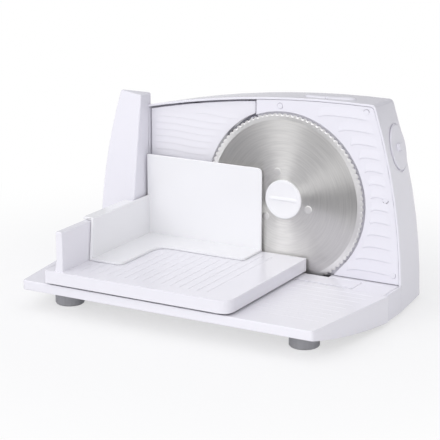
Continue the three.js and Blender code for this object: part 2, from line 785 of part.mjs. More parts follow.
function fenceOutline(inset, drop) {
  const radius = fenceBayRadius + inset;
  const footZ = fenceFootZ + inset;
  const rightX = fenceRightX - inset;
  const leftX = fenceLeftX + inset;
  const points = [new THREE.Vector2(leftX, footZ)];
  const chuteX = chuteRightX - turnGap - inset;
  const chuteAngle = Math.acos((bladeX - chuteX) / radius);
  const footAngle = Math.asin(Math.min(1, (bladeZ - footZ) / radius));
  if (chuteAngle < footAngle) points.push(new THREE.Vector2(chuteX, footZ));
  const start = -Math.PI + Math.min(chuteAngle, footAngle);
  const end = -Math.PI - Math.acos((bladeX - rightX) / radius);
  const baySteps = 28;
  for (let i = 0; i <= baySteps; i += 1) {
    const angle = THREE.MathUtils.lerp(start, end, i / baySteps);
    points.push(new THREE.Vector2(bladeX + radius * Math.cos(angle), bladeZ + radius * Math.sin(angle)));
  }
  const topSteps = 8;
  for (let i = 0; i <= topSteps; i += 1) {
    const x = THREE.MathUtils.lerp(rightX, leftX, i / topSteps);
    points.push(new THREE.Vector2(x, topLine(x, -fenceTopGap - inset - drop)));
  }
  return points;
}

function fenceSolid(inset, fromY, toY) {
  return loft([fromY, toY].map((y) => fenceOutline(inset, draftAt(fullDraftZ, y - fenceFrontY))
    .map((point) => new THREE.Vector3(point.x, y, point.y))));
}

function waveBand(startX, endX, z) {
  const steps = 6;
  const upper = [];
  const lower = [];
  for (let i = 0; i <= steps; i += 1) {
    const x = THREE.MathUtils.lerp(startX, endX, i / steps);
    const lift = fenceWaveBow * Math.sin((2 * Math.PI * i) / steps);
    upper.push(new THREE.Vector2(x, z + lift + fenceWaveWidth / 2));
    lower.push(new THREE.Vector2(x, z + lift - fenceWaveWidth / 2));
  }
  return [...lower, ...upper.reverse()];
}

const armTopZ = armFootZ + armHeight;
const armBossLeftX = armLeftX + 2;

function makeFence() {
  let fence = fenceSolid(0, fenceFrontY, fenceFrontY + fenceDepth);
  fence = fence.subtract(fenceSolid(wall, fenceFrontY + wall, fenceFrontY + fenceDepth + 1));
  for (const [, x] of fenceRodXs) {
    const z = fenceRodZ(x);
    fence = fence.add(rod('y', x, z, fenceBushRadius, fenceFrontY + 1, fenceBushRearY, 20));
    fence = fence.subtract(rod('y', x, z, fenceRodRadius + seatGap, fenceBushFloorY, far, 20));
  }
  fence = fence.add(block(
    armBossLeftX, armBossLeftX + armBossWidth, fenceFrontY + 1, armFrontY - seatGap, armFootZ, armTopZ,
  ));
  for (let i = 0; i < fenceWaveCount; i += 1) {
    const z = fenceWaveFirstZ + i * fenceWavePitch;
    const reach = fenceBayRadius + fenceWaveMargin;
    const dz = Math.abs(z - bladeZ);
    const bayX = dz < reach ? bladeX - Math.sqrt(reach ** 2 - dz ** 2) : fenceRightX;
    const endX = Math.min(bayX, z < bladeZ ? chuteRightX : fenceRightX) - fenceWaveMargin;
    const ceiling = topLine(fenceLeftX, -fenceTopGap) - fenceWavePitch / 2;
    const underTop = topApexX - Math.sqrt(2 * topRadius * (topApexZ - z - fenceWavePitch / 2));
    const startX = z < ceiling ? fenceLeftX + fenceWaveStart : underTop;
    fence = fence.add(prism('y', waveBand(startX, endX, z), fenceFrontY - fenceWaveHeight, fenceFrontY + 1));
  }
  return fence;
}
add('fence_plate', makeFence(), 'tray');

for (const [side, x] of fenceRodXs) {
  const guide = rod('y', x, fenceRodZ(x), fenceRodRadius, fenceRodFrontY, rearY - wall - seatGap, 20);
  add(`fence_rod_${side}`, guide, 'steel');
}

// Fence arm with the follower pin that runs in the cam's spiral groove
function makeArm() {
  const rootZ = -camDepth - camThickness - pinReach;
  const tipZ = -camDepth - camThickness + camGrooveDepth - pinTipGap;
  const root = new THREE.Vector3(camRestRadius, 0, rootZ).applyMatrix4(dialPlace);
  const arm = block(armLeftX, root.x + pinHold, armFrontY, armFrontY + armThickness, armFootZ, armTopZ);
  return arm.add(rod('z', camRestRadius, 0, pinRadius, rootZ, tipZ, 12, dialPlace));
}
add('fence_arm', makeArm(), 'zinc');

// Thickness dial outside the wall and spiral cam inside it, on one hub
const hubTipZ = -camDepth - camThickness + camGrooveDepth;

function makeDial() {
  const rootZ = turnGap - dialRecess;
  const faceZ = rootZ + dialThickness;
  const knob = revolve('z', [
    [0, rootZ], [dialRadius, rootZ], [dialRadius, faceZ - dialEdge], [dialRadius - dialEdge, faceZ], [0, faceZ],
  ], 0, 0, 32);
  const gripHalf = dialRadius - gripMargin;
  const grip = prism('z', rounded([
    [-gripHalf, -gripHalfWidth, gripCorner], [gripHalf, -gripHalfWidth, gripCorner],
    [gripHalf, gripHalfWidth, gripCorner], [-gripHalf, gripHalfWidth, gripCorner],
  ]), faceZ - dialEdge, faceZ + gripHeight);
  const hub = rod('z', 0, 0, dialHubRadius, -camDepth + seatGap, faceZ - dialEdge);
  const key = block(-dialKeyHalf, dialKeyHalf, -dialKeyHalf, dialKeyHalf, hubTipZ, 0);
  return knob.add(grip).add(hub).add(key);
}
const dial = add('thickness_dial', makeDial(), 'shell');
dial.applyMatrix4(dialPlace);

function spiralGroove() {
  const perTurn = fencePerRadian * Math.abs(dialPlace.elements[1]);
  const overrun = 0.35;
  const from = -fenceForward / fencePerRadian - overrun;
  const to = fenceBack / fencePerRadian + overrun;
  const steps = 24;
  const inside = [];
  const outside = [];
  for (let i = 0; i <= steps; i += 1) {
    const turn = THREE.MathUtils.lerp(from, to, i / steps);
    const radius = camRestRadius - turn * perTurn;
    const direction = new THREE.Vector2(Math.cos(-turn), Math.sin(-turn));
    inside.push(direction.clone().multiplyScalar(radius - camGrooveHalf));
    outside.push(direction.clone().multiplyScalar(radius + camGrooveHalf));
  }
  return [...inside, ...outside.reverse()];
}

function makeCam() {
  const bottom = -camDepth - camThickness;
  const disc = rod('z', 0, 0, camRadius, bottom, -camDepth, 32);
  const groove = prism('z', spiralGroove(), bottom - 1, bottom + camGrooveDepth);
  const half = dialKeyHalf + seatGap;
  const keyway = block(-half, half, -half, half, hubTipZ - seatGap, 0);
  return disc.subtract(groove).subtract(keyway);
}
const cam = add('thickness_cam', makeCam(), 'gear');
cam.applyMatrix4(dialPlace);

// Blade: flat behind, bevelled in front, with a scalloped cutting edge
const bladeRearY = bladeFrontY + bladeThickness;
const rivetPlaces = Array.from({ length: rivetCount }, (_, i) => {
  const angle = THREE.MathUtils.degToRad(rivetFirstAngle - (360 / rivetCount) * i);
  return [bladeX + rivetCircle * Math.cos(angle), bladeZ + rivetCircle * Math.sin(angle)];
});

function makeBlade() {
  const perScallop = 3;
  const count = scallopCount * perScallop;
  const ring = (y, radiusAt) => Array.from({ length: count }, (_, i) => {
    const angle = (2 * Math.PI * i) / count;
    const radius = radiusAt(i % perScallop);
    return new THREE.Vector3(bladeX + radius * Math.cos(angle), y, bladeZ + radius * Math.sin(angle));
  });
  const face = ring(bladeFrontY, () => bladeRadius - bevelWidth);
  const edge = ring(bladeRearY, (step) => bladeRadius - (step === 0 ? 0 : scallopDepth));
  let blade = loft([face, edge]).subtract(rod('y', bladeX, bladeZ, bladeBore, 0, far));
  for (const [x, z] of rivetPlaces) blade = blade.subtract(rod('y', x, z, rivetHoleRadius, 0, far, 12));
  return blade;
}
add('blade', makeBlade(), 'steel');

const flangeFrontY = bladeRearY + seatGap;
const flangeRearY = flangeFrontY + gearFlangeThickness;

rivetPlaces.forEach(([x, z], i) => {
  const headY = bladeFrontY - seatGap;
  const shank = rivetHoleRadius - seatGap;
  add(`blade_rivet_${i + 1}`, revolve('y', [
    [0, headY - rivetHead], [rivetRadius - 0.4, headY - rivetHead], [rivetRadius, headY - rivetHead / 2],
    [rivetRadius, headY], [shank, headY], [shank, flangeRearY], [0, flangeRearY],
  ], x, z, 12), 'steel');
});

// Blade lock knob: a ridge between two scoops, on a shank in the gear's hub
const knobRearY = bladeFrontY - seatGap;
const knobFrontY = bladeFrontY - knobProud;
const shankRearY = knobRearY + knobShankLength;

function scoop(hand) {
  const radius = knobRadius - knobRim;
  const start = Math.asin(ridgeHalfWidth / radius);
  const points = [];
  const steps = 12;
  for (let i = 0; i <= steps; i += 1) {
    const angle = THREE.MathUtils.lerp(start, Math.PI - start, i / steps);
    points.push(new THREE.Vector2(bladeX + radius * Math.cos(angle), bladeZ + hand * radius * Math.sin(angle)));
  }
  return points;
}

function makeKnob() {
  let knob = revolve('y', [
    [0, knobFrontY], [knobRadius - knobEdge, knobFrontY], [knobRadius, knobFrontY + knobEdge], [knobRadius, knobRearY],
    [knobShankRadius, knobRearY], [knobShankRadius, shankRearY], [0, shankRearY],
  ], bladeX, bladeZ, 28);
  for (const hand of [1, -1]) knob = knob.subtract(prism('y', scoop(hand), 0, knobFrontY + scoopDepth));
  return knob;
}
add('blade_lock_knob', makeKnob(), 'guard');

// Blade gear: a flange riveted to the blade, a hub and a helical worm wheel
const gearRadius = (gearModule * gearTeeth) / 2;
const gearFrontY = gearMidY - gearWidth / 2;
const gearRearY = gearMidY + gearWidth / 2;
const wormPitch = Math.PI * gearModule;
const leadAngle = Math.atan(wormPitch / (2 * Math.PI * wormRadius));
const wormZ = bladeZ - gearRadius - wormRadius;
const toothFlank = [[gearRadius - toothRoot, toothRootHalf], [gearRadius + toothTip, toothTipHalf]];

function toothedRing(y) {
  const twist = ((y - gearMidY) * Math.tan(leadAngle)) / gearRadius;
  const [[root, rootHalf], [tip, tipHalf]] = toothFlank;
  return Array.from({ length: gearTeeth }, (_, i) => {
    const middle = (2 * Math.PI * i) / gearTeeth + twist;
    return [[root, -rootHalf], [tip, -tipHalf], [tip, tipHalf], [root, rootHalf]].map(([radius, offset]) => {
      const angle = middle + offset;
      return new THREE.Vector3(bladeX + radius * Math.cos(angle), y, bladeZ + radius * Math.sin(angle));
    });
  }).flat();
}

function makeGear() {
  const socketRearY = shankRearY + seatGap;
  const hub = revolve('y', [
    [0, flangeFrontY], [gearFlangeRadius, flangeFrontY], [gearFlangeRadius, flangeRearY],
    [gearHubRadius, flangeRearY], [gearHubRadius, gearFrontY + 1], [gearHubRadius - gearSocketWall, gearRearY - 1],
    [gearHubRadius - gearSocketWall, bracketY - turnGap], [0, bracketY - turnGap],
  ], bladeX, bladeZ, 28);
  let gear = loft([toothedRing(gearFrontY), toothedRing(gearRearY)]).add(hub);
  gear = gear.subtract(rod('y', bladeX, bladeZ, knobShankRadius + turnGap, 0, socketRearY));
  gear = gear.subtract(rod('y', bladeX, bladeZ, axleRadius + seatGap, 0, far, 24));
  for (const [x, z] of rivetPlaces) gear = gear.subtract(rod('y', x, z, rivetHoleRadius, 0, flangeRearY + 1, 12));
  return gear;
}
add('blade_gear', makeGear(), 'gear');

const axleFrontY = shankRearY + 2;
add('blade_axle', rod('y', bladeX, bladeZ, axleRadius, axleFrontY, axleRearY, 24), 'steel');

// Worm: each ring's radius follows the thread as it winds along X
const wormLeftX = bladeX - wormLength / 2;

function threadRadius(phase) {
  const away = Math.abs(phase - Math.round(phase));
  const share = THREE.MathUtils.clamp((away - threadRootHalf) / (threadTipStart - threadRootHalf), 0, 1);
  return THREE.MathUtils.lerp(wormRadius - toothRoot, wormRadius + toothTip, share);
}

function makeWorm() {
  const count = Math.round((wormLength / wormPitch) * wormSteps);
  const rings = Array.from({ length: count + 1 }, (_, i) => {
    const x = wormLeftX + (wormLength * i) / count;
    return Array.from({ length: wormSides }, (__, k) => {
      const angle = Math.PI / 2 + (2 * Math.PI * k) / wormSides;
      const radius = threadRadius((x - bladeX) / wormPitch - k / wormSides);
      return new THREE.Vector3(x, gearMidY + radius * Math.cos(angle), wormZ + radius * Math.sin(angle));
    });
  });
  return loft(rings).subtract(rod('x', gearMidY, wormZ, motorShaftRadius + seatGap, -far, far, 12));
}
add('worm', makeWorm(), 'bronze');

const bushLeftX = wormLeftX - bushLength - 3;
const shaftLeftX = bushLeftX - 1;
const shaftDepth = 10;
add('motor_shaft', rod('x', gearMidY, wormZ, motorShaftRadius, shaftLeftX, motorLeftX + shaftDepth, 12), 'steel');

const motorRightX = motorLeftX + motorLength;
const motorCan = rod('x', gearMidY, wormZ, motorRadius, motorLeftX, motorRightX, 20);
const shaftHole = rod('x', gearMidY, wormZ, motorShaftRadius + seatGap, 0, motorLeftX + shaftDepth + seatGap, 12);
add('motor_can', motorCan.subtract(shaftHole), 'zinc');
add('motor_end_cap', revolve('x', [
  [0, motorRightX + seatGap], [motorRadius, motorRightX + seatGap], [motorRadius, motorRightX + motorCapLength / 2],
  [motorRadius / 2, motorRightX + motorCapLength], [0, motorRightX + motorCapLength],
], gearMidY, wormZ, 20), 'gear');

const bushRing = rod('x', gearMidY, wormZ, bushRadius, bushLeftX, bushLeftX + bushLength, 20);
add('worm_bush', bushRing.subtract(rod('x', gearMidY, wormZ, motorShaftRadius + seatGap, 0, far, 12)), 'bronze');

// Gearbox bracket: a plate on four posts that carries the axle and the worm's bush
function makeBracket() {
  const [left, right] = [bladeX - bracketHalfWidth, bladeX + bracketHalfWidth];
  const [foot, head] = [bladeZ - bracketHalfHeight, bladeZ + bracketHalfHeight];
  const plateRearY = bracketY + bracketThickness;
  const corner = bracketCorner;
  let bracket = prism('y', rounded([
    [left, foot, corner], [right, foot, corner], [right, head, corner], [left, head, corner],
  ]), bracketY, plateRearY);
  for (const x of [left + corner, right - corner]) {
    for (const z of [foot + corner, head - corner]) {
      bracket = bracket.add(rod('y', x, z, bracketPostRadius, bracketY + 1, rearY - wall - seatGap, 12));
    }
  }
  bracket = bracket.add(rod('y', bladeX, bladeZ, bracketBossRadius, bracketY + 1, axleRearY - 2, 24));
  const armX = bushLeftX + (bushLength - bushArmWidth) / 2;
  const armHalf = bushRadius + wall;
  bracket = bracket.add(block(armX, armX + bushArmWidth, gearMidY - armHalf, plateRearY, wormZ - armHalf, wormZ + armHalf));
  bracket = bracket.add(block(armX, armX + bushArmWidth, bracketY, plateRearY, wormZ, foot + corner));
  bracket = bracket.subtract(rod('x', gearMidY, wormZ, bushRadius + seatGap, 0, far, 20)
    .intersect(block(0, armX + bushArmWidth + 1, 0, far, 0, far)));
  return bracket.subtract(rod('y', bladeX, bladeZ, axleRadius + seatGap, 0, far, 24));
}
add('gearbox_bracket', makeBracket(), 'zinc');

function makeCradle() {
  const footZ = deckZ + seatGap;
  const [left, right] = [motorLeftX + cradleMargin, motorRightX - cradleMargin];
  const [front, rear] = [gearMidY - cradleHalf, gearMidY + cradleHalf];
  let cradle = block(left, right, front, rear, footZ, footZ + cradleFloor);
  for (const x of [left, right - cradleRib]) {
    cradle = cradle.add(block(x, x + cradleRib, front, rear, footZ, wormZ - motorRadius / 3));
  }
  return cradle.subtract(rod('x', gearMidY, wormZ, motorRadius + seatGap, 0, far, 20));
}
add('motor_cradle', makeCradle(), 'gear');

// Switch: an oval rocker on a cross pin, over a body that hangs from the top wall
const pivotZ = -rockerPivotDepth;
const keelHalf = rockerKeelHalf;

function makeRocker() {
  const halfLength = rockerLength / 2;
  const halfWidth = rockerWidth / 2;
  const steps = [[-rockerDepth, 0]];
  for (let i = 0; i <= rockerCrownSteps; i += 1) {
    const angle = (Math.PI / 2) * (i / rockerCrownSteps);
    steps.push([rockerEdge + rockerCrown * Math.sin(angle), rockerCrownInset * (1 - Math.cos(angle))]);
  }
  const cap = loft(steps.map(([z, inset]) => ellipse(halfLength - inset, halfWidth - inset, 24)
    .map((point) => new THREE.Vector3(point.x, point.y, z))));
  const keel = block(-keelHalf, keelHalf, -keelHalf, keelHalf, pivotZ - 2 * rockerPinRadius, 1 - rockerDepth);
  const pin = rod('y', 0, pivotZ, rockerPinRadius, -rockerPinLength / 2, rockerPinLength / 2, 12);
  const notch = rod('z', 0, -halfWidth, rockerNotch, rockerEdge - rockerNotchDepth, far, 12);
  return cap.add(keel).add(pin).subtract(notch);
}
const rocker = add('switch_rocker', makeRocker(), 'shell');
rocker.applyMatrix4(switchPlace);

function makeSwitchBody() {
  const halfLength = switchBodyLength / 2;
  const halfWidth = switchBodyWidth / 2;
  const top = -switchBodyDepth;
  const crown = halfLength ** 2 / (2 * topRadius);
  const legTop = -wall - seatGap - crown;
  let body = block(-halfLength, halfLength, -halfWidth, halfWidth, top - switchBodyHeight, top);
  for (const hand of [-1, 1]) {
    const [a, b] = [hand * halfLength, hand * (halfLength - switchLeg)].sort((p, q) => p - q);
    body = body.add(block(a, b, -halfWidth, halfWidth, top - 1, legTop));
    const [c, d] = [hand * halfWidth, hand * (keelHalf + turnGap)].sort((p, q) => p - q);
    body = body.add(block(-keelHalf, keelHalf, c, d, top - 1, pivotZ + rockerPinRadius + 1));
  }
  return body.subtract(rod('y', 0, pivotZ, rockerPinRadius + turnGap, -far, far, 12));
}
const switchBody = add('switch_body', makeSwitchBody(), 'gear');
switchBody.applyMatrix4(switchPlace);

// Carriage: a shallow plate open below, with an end wall, a runner key and glide pads
function carriageOutline(inset) {
  const left = carriageLeftX + inset;
  const right = carriageRightX - inset;
  const front = carriageFrontY + inset;
  const rear = carriageRearY - inset;
  const notchX = endWallRightX - seatGap + inset;
  const notchY = endWallRearY - inset;
  const small = carriageSmallCorner - inset / 2;
  return rounded([
    [left, front, small], [right, front, carriageCorner - inset], [right, rear, 1], [notchX, rear, 1],
    [notchX, notchY, 0], [left, notchY, small],
  ]);
}

function makeCarriage() {
  let carriage = prism('z', carriageOutline(0), carriageBottomZ, carriageTopZ);
  carriage = carriage.subtract(prism('z', carriageOutline(wall), 0, carriageTopZ - wall));
  carriage = carriage.add(block(
    endWallLeftX, endWallRightX, carriageFrontY + carriageSmallCorner, endWallRearY, carriageTopZ - 1, endWallTopZ,
  ));
  carriage = carriage.add(prism('y', [
    [endWallLeftX + 1, carriageTopZ - 1], [endWallLeftX + 1, carriageTopZ + endWallFlareHeight],
    [endWallLeftX, carriageTopZ + endWallFlareHeight], [endWallLeftX - endWallFlare, carriageTopZ - 1],
  ].map(([x, z]) => new THREE.Vector2(x, z)), carriageFrontY + carriageSmallCorner, endWallRearY));
  for (let i = 0; i < carriageGrooveCount; i += 1) {
    const x = carriageGrooveFirstX + i * carriageGroovePitch;
    carriage = carriage.subtract(block(
      x, x + carriageGrooveWidth, carriageGrooveFrontY, carriageGrooveRearY, carriageTopZ - carriageGrooveDepth, far,
    ));
  }
  const keyFootZ = deckZ - grooveDepth + seatGap;
  carriage = carriage.add(block(
    keyLeftX, keyLeftX + keyLength, grooveY - keyThickness / 2, grooveY + keyThickness / 2, keyFootZ, carriageTopZ - 1,
  ));
  const padZ = deckZ + seatGap;
  for (const x of [carriageLeftX + carriageCorner, carriageRightX - carriageCorner - padLength]) {
    for (const y of [carriageFrontY + carriageCorner, grooveY + padWidth]) {
      if (x < endWallRightX && y > endWallRearY) continue;
      carriage = carriage.add(block(x, x + padLength, y, y + padWidth, padZ, carriageTopZ - 1));
    }
  }
  const rearPadX = keyLeftX;
  return carriage.add(block(rearPadX, rearPadX + padLength, grooveY + padWidth, grooveY + 2 * padWidth, padZ, carriageTopZ - 1));
}
add('carriage', makeCarriage(), 'tray');

// Pusher: an upright plate before the fence, a side wall with a lip over the end wall, and a floor flange
function makePusher() {
  const leftX = endWallRightX + pusherWallGap;
  const wallRightX = leftX + pusherWallThickness;
  const plateRearY = carriageRearY - pusherRearGap;
  const plateFrontY = plateRearY - pusherPlateThickness;
  const floorZ = carriageTopZ + pusherFloorGap;
  const floorTopZ = floorZ + pusherFloorThickness;
  const lipZ = endWallTopZ + pusherLipGap;
  const lipTopZ = lipZ + pusherLipThickness;
  let pusher = prism('y', rounded([
    [leftX, floorZ, 0], [pusherRightX, floorZ, 1], [pusherRightX, pusherTopZ, pusherTopCorner],
    [leftX, pusherTopZ, 2],
  ]), plateFrontY, plateRearY);
  const toeY = pusherWallFrontY - pusherWallLean;
  pusher = pusher.add(prism('x', [[toeY, floorZ], [plateRearY, floorZ], [plateRearY, lipTopZ], [pusherWallFrontY, lipTopZ]]
    .map(([y, z]) => new THREE.Vector2(y, z)), leftX, wallRightX));
  pusher = pusher.add(block(pusherLipLeftX, wallRightX, pusherWallFrontY, pusherLipRearY, lipZ, lipTopZ));
  const tongueX = wallRightX + flangeTongueWidth;
  const bayY = plateFrontY - flangeDepth;
  const flange = rounded([
    [leftX, toeY, 0], [tongueX, toeY, flangeTongueCorner], [tongueX, bayY, flangeBayCorner],
    [pusherRightX, bayY, flangeCorner], [pusherRightX, plateRearY, 0], [leftX, plateRearY, 0],
  ]);
  return pusher.add(prism('z', flange, floorZ, floorTopZ));
}
add('pusher', makePusher(), 'guard');

export default slicer;
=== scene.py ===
# Looks of the household food slicer, in metres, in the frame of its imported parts.
import json
import math

import bmesh
import bpy
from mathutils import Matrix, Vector


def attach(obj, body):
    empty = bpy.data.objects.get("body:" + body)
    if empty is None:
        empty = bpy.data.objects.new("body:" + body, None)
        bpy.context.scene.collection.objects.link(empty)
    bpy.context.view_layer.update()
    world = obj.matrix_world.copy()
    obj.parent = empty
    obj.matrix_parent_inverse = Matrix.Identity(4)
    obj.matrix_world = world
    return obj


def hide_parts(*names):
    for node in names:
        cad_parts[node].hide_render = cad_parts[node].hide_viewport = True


MM = 0.001

# Camera
CAMERA_PLACE = Vector((0.85333, -1.52111, 0.57125))
CAMERA_TARGET = Vector((-0.00689, 0.0105, 0.09002))
CAMERA_LENS = 136.65
CAMERA_SENSOR = 36

# Edges
SHARP_ANGLE = math.radians(32)
FLAT_ANGLE = math.radians(0.4)
JOIN_DISTANCE = 0.002 * MM
STRAIGHT_ON = -0.75
EDGE_SHARE = 0.45
SMALLEST_EDGE = 0.04 * MM
EDGE_RADIUS = {
    "base": 1.0 * MM,
    "guide_rail": 0.3 * MM,
    "foot_front_left": 0.8 * MM,
    "foot_front_right": 0.8 * MM,
    "foot_rear_left": 0.5 * MM,
    "foot_rear_right": 0.5 * MM,
    "bottom_cover": 0.5 * MM,
    "rear_shell": 0.7 * MM,
    "left_pillar": 2.2 * MM,
    "front_panel": 0.5 * MM,
    "panel_plug_1": 0.6 * MM,
    "panel_plug_2": 0.3 * MM,
    "panel_plug_3": 0.3 * MM,
    "panel_plug_4": 0.3 * MM,
    "fence_plate": 0.5 * MM,
    "thickness_dial": 0.6 * MM,
    "thickness_cam": 0.3 * MM,
    "switch_rocker": 0.5 * MM,
    "carriage": 1.0 * MM,
    "pusher": 0.9 * MM,
}
EDGE_SEGMENTS = 3

# Faces whose moulded ribs are drawn again: axis, lowest and highest place of the ribs, and the face itself
LEVELS = {
    "base": (2, 33.6 * MM, 34.1 * MM, 33.5 * MM),
    "front_panel": (1, 50.5 * MM, 51.0 * MM, 51.1 * MM),
    "fence_plate": (1, 54.4 * MM, 54.9 * MM, 55.0 * MM),
}

# Edges left as they are, by height: the foot of the carriage's skirt and the pusher's flange
BARE_BELOW = {"carriage": 36.5 * MM, "pusher": 53 * MM}

# Low moulded ridges in millimetres: sections as place across and height, fades as shares of the length
RIDGE_SINK = 0.12
DECK_RIDGE = [(-1.2, -0.1), (-0.8, 0.1), (-0.4, 0.22), (0, 0.26), (0.4, 0.22), (0.8, 0.1), (1.2, -0.1)]
PANEL_RIDGE = [
    (-1.3, -0.06), (-1.0, 0.1), (-0.5, 0.48), (-0.05, 0.8), (0.45, 0.9),
    (1.2, 0.86), (3.0, 0.62), (5.5, 0.28), (8.0, 0.05), (9.5, -0.06),
]
FENCE_RIDGE = [
    (-0.7, -0.06), (-0.5, 0.04), (-0.2, 0.2), (0.1, 0.28), (0.5, 0.28), (1.5, 0.22), (3.5, 0.1), (5.2, 0.0),
    (6.2, -0.06),
]
RIDGE_STEPS = 48
DECK_RIB_FIRST_Y = -96
DECK_RIB_PITCH = 12.5
DECK_RIB_WIDTH = 2.4
DECK_RIB_COUNT = 9
DECK_RIB_LEFT_X = 86.2
DECK_RIB_FADE = (0.03, 0.06)
PANEL_FACE_Y = 51.1
PANEL_RIB_COUNT = 13
PANEL_RIB_PITCH = 13.8
PANEL_RIB_FIRST_Z = 45.3
PANEL_RIB_RADIUS = 102.3
PANEL_RIB_MARGIN = 4.5
PANEL_RIB_APEX = 0.4
PANEL_RIB_LEFT_DROP = 3.6
PANEL_RIB_RIGHT_DROP = 2.2
PANEL_RIB_FADE = (0.08, 0.25)
SIDE_FOOT = (188.8, 36.6)
SIDE_TOP = (154, 224.4)
SIDE_BULGE = 7.3
FENCE_FACE_Y = 55.0
FENCE_RIB_COUNT = 21
FENCE_RIB_PITCH = 7.6
FENCE_RIB_FIRST_Z = 43
FENCE_RIB_BOW = 0.9
FENCE_RIB_LEFT_X = -117
FENCE_RIB_RIGHT_X = 9
FENCE_RIB_RADIUS = 101
FENCE_RIB_FADE = (0.05, 0.15)
FENCE_RIB_HEADROOM = 7.5
FENCE_TOP_LEFT_Z = 194
FENCE_TOP_SLOPE = 0.16

# Tower behind its rim
RIM_Y = 50.6 * MM
REAR_EDGE_Y = 119.5 * MM
TOP_LIFT = 3.4 * MM
TOP_LIFT_FROM = 150 * MM
TOP_LIFT_REACH = 50 * MM
SIDE_PULL_LOW = 2.2 * MM
SIDE_PULL_HIGH = 3.2 * MM
SIDE_PULL_FROM = 120 * MM
SIDE_PULL_REACH = 80 * MM
SIDE_START_RIGHT = 125 * MM
SIDE_START_LEFT = 122 * MM
SIDE_BLEND = 24 * MM

# Dial: flatter than the solid, a little deeper in its seat, with a short grip
DIAL_ROOT = -1.0 * MM
DIAL_FLATTEN = 0.55
DIAL_GRIP_HEIGHT = 3.0 * MM
DIAL_GRIP_REACH = 23.5 * MM
DIAL_GRIP_SHARE = 0.28
DIAL_FACE_SLACK = 0.01 * MM
DIAL_SEAT = 27 * MM
DIAL_SHIFT = -0.8 * MM

# Rocker: lifted with the tower's top, with a flatter crown
ROCKER_FOOT = 218.8 * MM
ROCKER_STEM = 2 * MM
ROCKER_FLATTEN = 0.8 * MM
ROCKER_FLAT_FROM = 219 * MM
ROCKER_FLAT_REACH = 7.2 * MM

# Shallower lines on the carriage, and the panel's foot close over the deck: from, to and new level
CARRIAGE_LINE = (49.3 * MM, 49.5 * MM, 49.7 * MM)
PANEL_FOOT = (36.5 * MM, 36.7 * MM, 34.3 * MM)

# Lock knob: two scoops beside a low ridge, inside a rim
KNOB_RADIUS = 21.75
KNOB_FRONT_Y = 46.8
KNOB_EDGE = 1.0
KNOB_REAR_Y = 49.1
KNOB_SCOOP_RADIUS = 18.8
KNOB_SCOOP_DEPTH = 1.9
KNOB_SCOOP_POWER = 2.5
KNOB_RIDGE_FLAT = 0.5
KNOB_RIDGE_FOOT = 2.6
KNOB_SHANK_RADIUS = 11
KNOB_SHANK_Y = 59.0
KNOB_SIDES = 96
KNOB_RINGS = 32
KNOB_CENTRE_RING = 0.05
KNOB_EDGE_STEPS = 4

# Rivets
RIVET_RADIUS = 4.5
RIVET_PROUD = 0.5
RIVET_REAR_Y = 53.8
RIVET_SIDES = 40
RIVET_SHARP_ANGLE = math.radians(50)

# Blade
BLADE_CENTRE = Vector((51 * MM, 0, 112 * MM))
BLADE_FRONT_Y = 49.3 * MM
BLADE_REAR_Y = 50.5 * MM
BLADE_RADIUS = 95 * MM
BLADE_BORE = 13 * MM
BLADE_BEVEL = 7 * MM
SCALLOP_COUNT = 96
SCALLOP_STEPS = 10
SCALLOP_DEPTH = 2.0 * MM
SCALLOP_REACH = 3 * MM
BLADE_LIP = 0.08 * MM
BLADE_SHARP_ANGLE = math.radians(4)
BLADE_ROUGHNESS = (0.37, 0.45)
BRUSH_RINGS = 260
BRUSH_STRETCH = 0.95
BRUSH_TURN = 0.25
GROUND_STEEL = (0.86, 0.85, 0.85)

# Floor: lit near the machine, plain white further away
FLOOR_NEAR = 0.22
FLOOR_FAR = 0.6
FLOOR_GLOW = 0.6
FLOOR_REACH = 6
FLOOR_COLOUR = (0.9, 0.9, 0.91, 1)
MATT = 0.9

# Dark cards: bearings from straight ahead in degrees, distances from the blade and heights
CARD_COLOUR = (0.04, 0.04, 0.04, 1)
FLOOR_CARD = [
    (35, 0.32, 0.001), (35, 1.2, 0.001), (8, 1.3, 0.001), (-15, 1.4, 0.001), (-38, 1.4, 0.001),
    (-62, 1.4, 0.001), (-85, 1.2, 0.001), (-85, 0.32, 0.001), (-38, 0.3, 0.001), (0, 0.28, 0.001),
]
STANDING_CARD = [(-14, 2.0, 0.1), (-60, 2.0, 0.1), (-60, 2.0, 0.42), (-14, 2.0, 0.42)]

# Light from all round: its level, how it leans to the front, left and top, and its share behind
SKY_LEVEL = 0.68
SKY_LEAN = (-0.24, -0.02, 0.58)
SKY_BEHIND = 0.5
SKY_BEHIND_FROM = -0.1
SKY_BEHIND_TO = 0.4
SKY_COLOUR = (0.98, 0.98, 1, 1)

# Lamps: place, width, height and power
LAMP_TARGET = Vector((0, 0, 0.1))
KEY_LAMP = (Vector((-1.0, -1.75, 1.25)), 1.0, 1.3, 7)
FILL_LAMP = (Vector((1.3, -2.0, 0.8)), 1.2, 1.2, 10)

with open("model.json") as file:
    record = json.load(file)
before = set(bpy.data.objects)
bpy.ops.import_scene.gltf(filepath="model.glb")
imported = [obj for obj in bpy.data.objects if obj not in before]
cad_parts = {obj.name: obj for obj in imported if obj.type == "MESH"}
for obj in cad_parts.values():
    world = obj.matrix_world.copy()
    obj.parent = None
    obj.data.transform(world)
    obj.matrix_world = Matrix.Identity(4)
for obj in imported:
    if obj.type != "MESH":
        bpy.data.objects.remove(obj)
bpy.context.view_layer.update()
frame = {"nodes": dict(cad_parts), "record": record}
record = frame["record"]
slot_of = {row["node"]: row["material_slot"] for row in record["subparts"]}
body_of = {node: body for body, nodes in record["behaviour"]["bodies"].items() for node in nodes}


# Materials
def new_material(name):
    material = bpy.data.materials.new(name)
    material.use_nodes = True
    tree = material.node_tree
    shader = tree.nodes["Principled BSDF"]
    return material, tree, shader


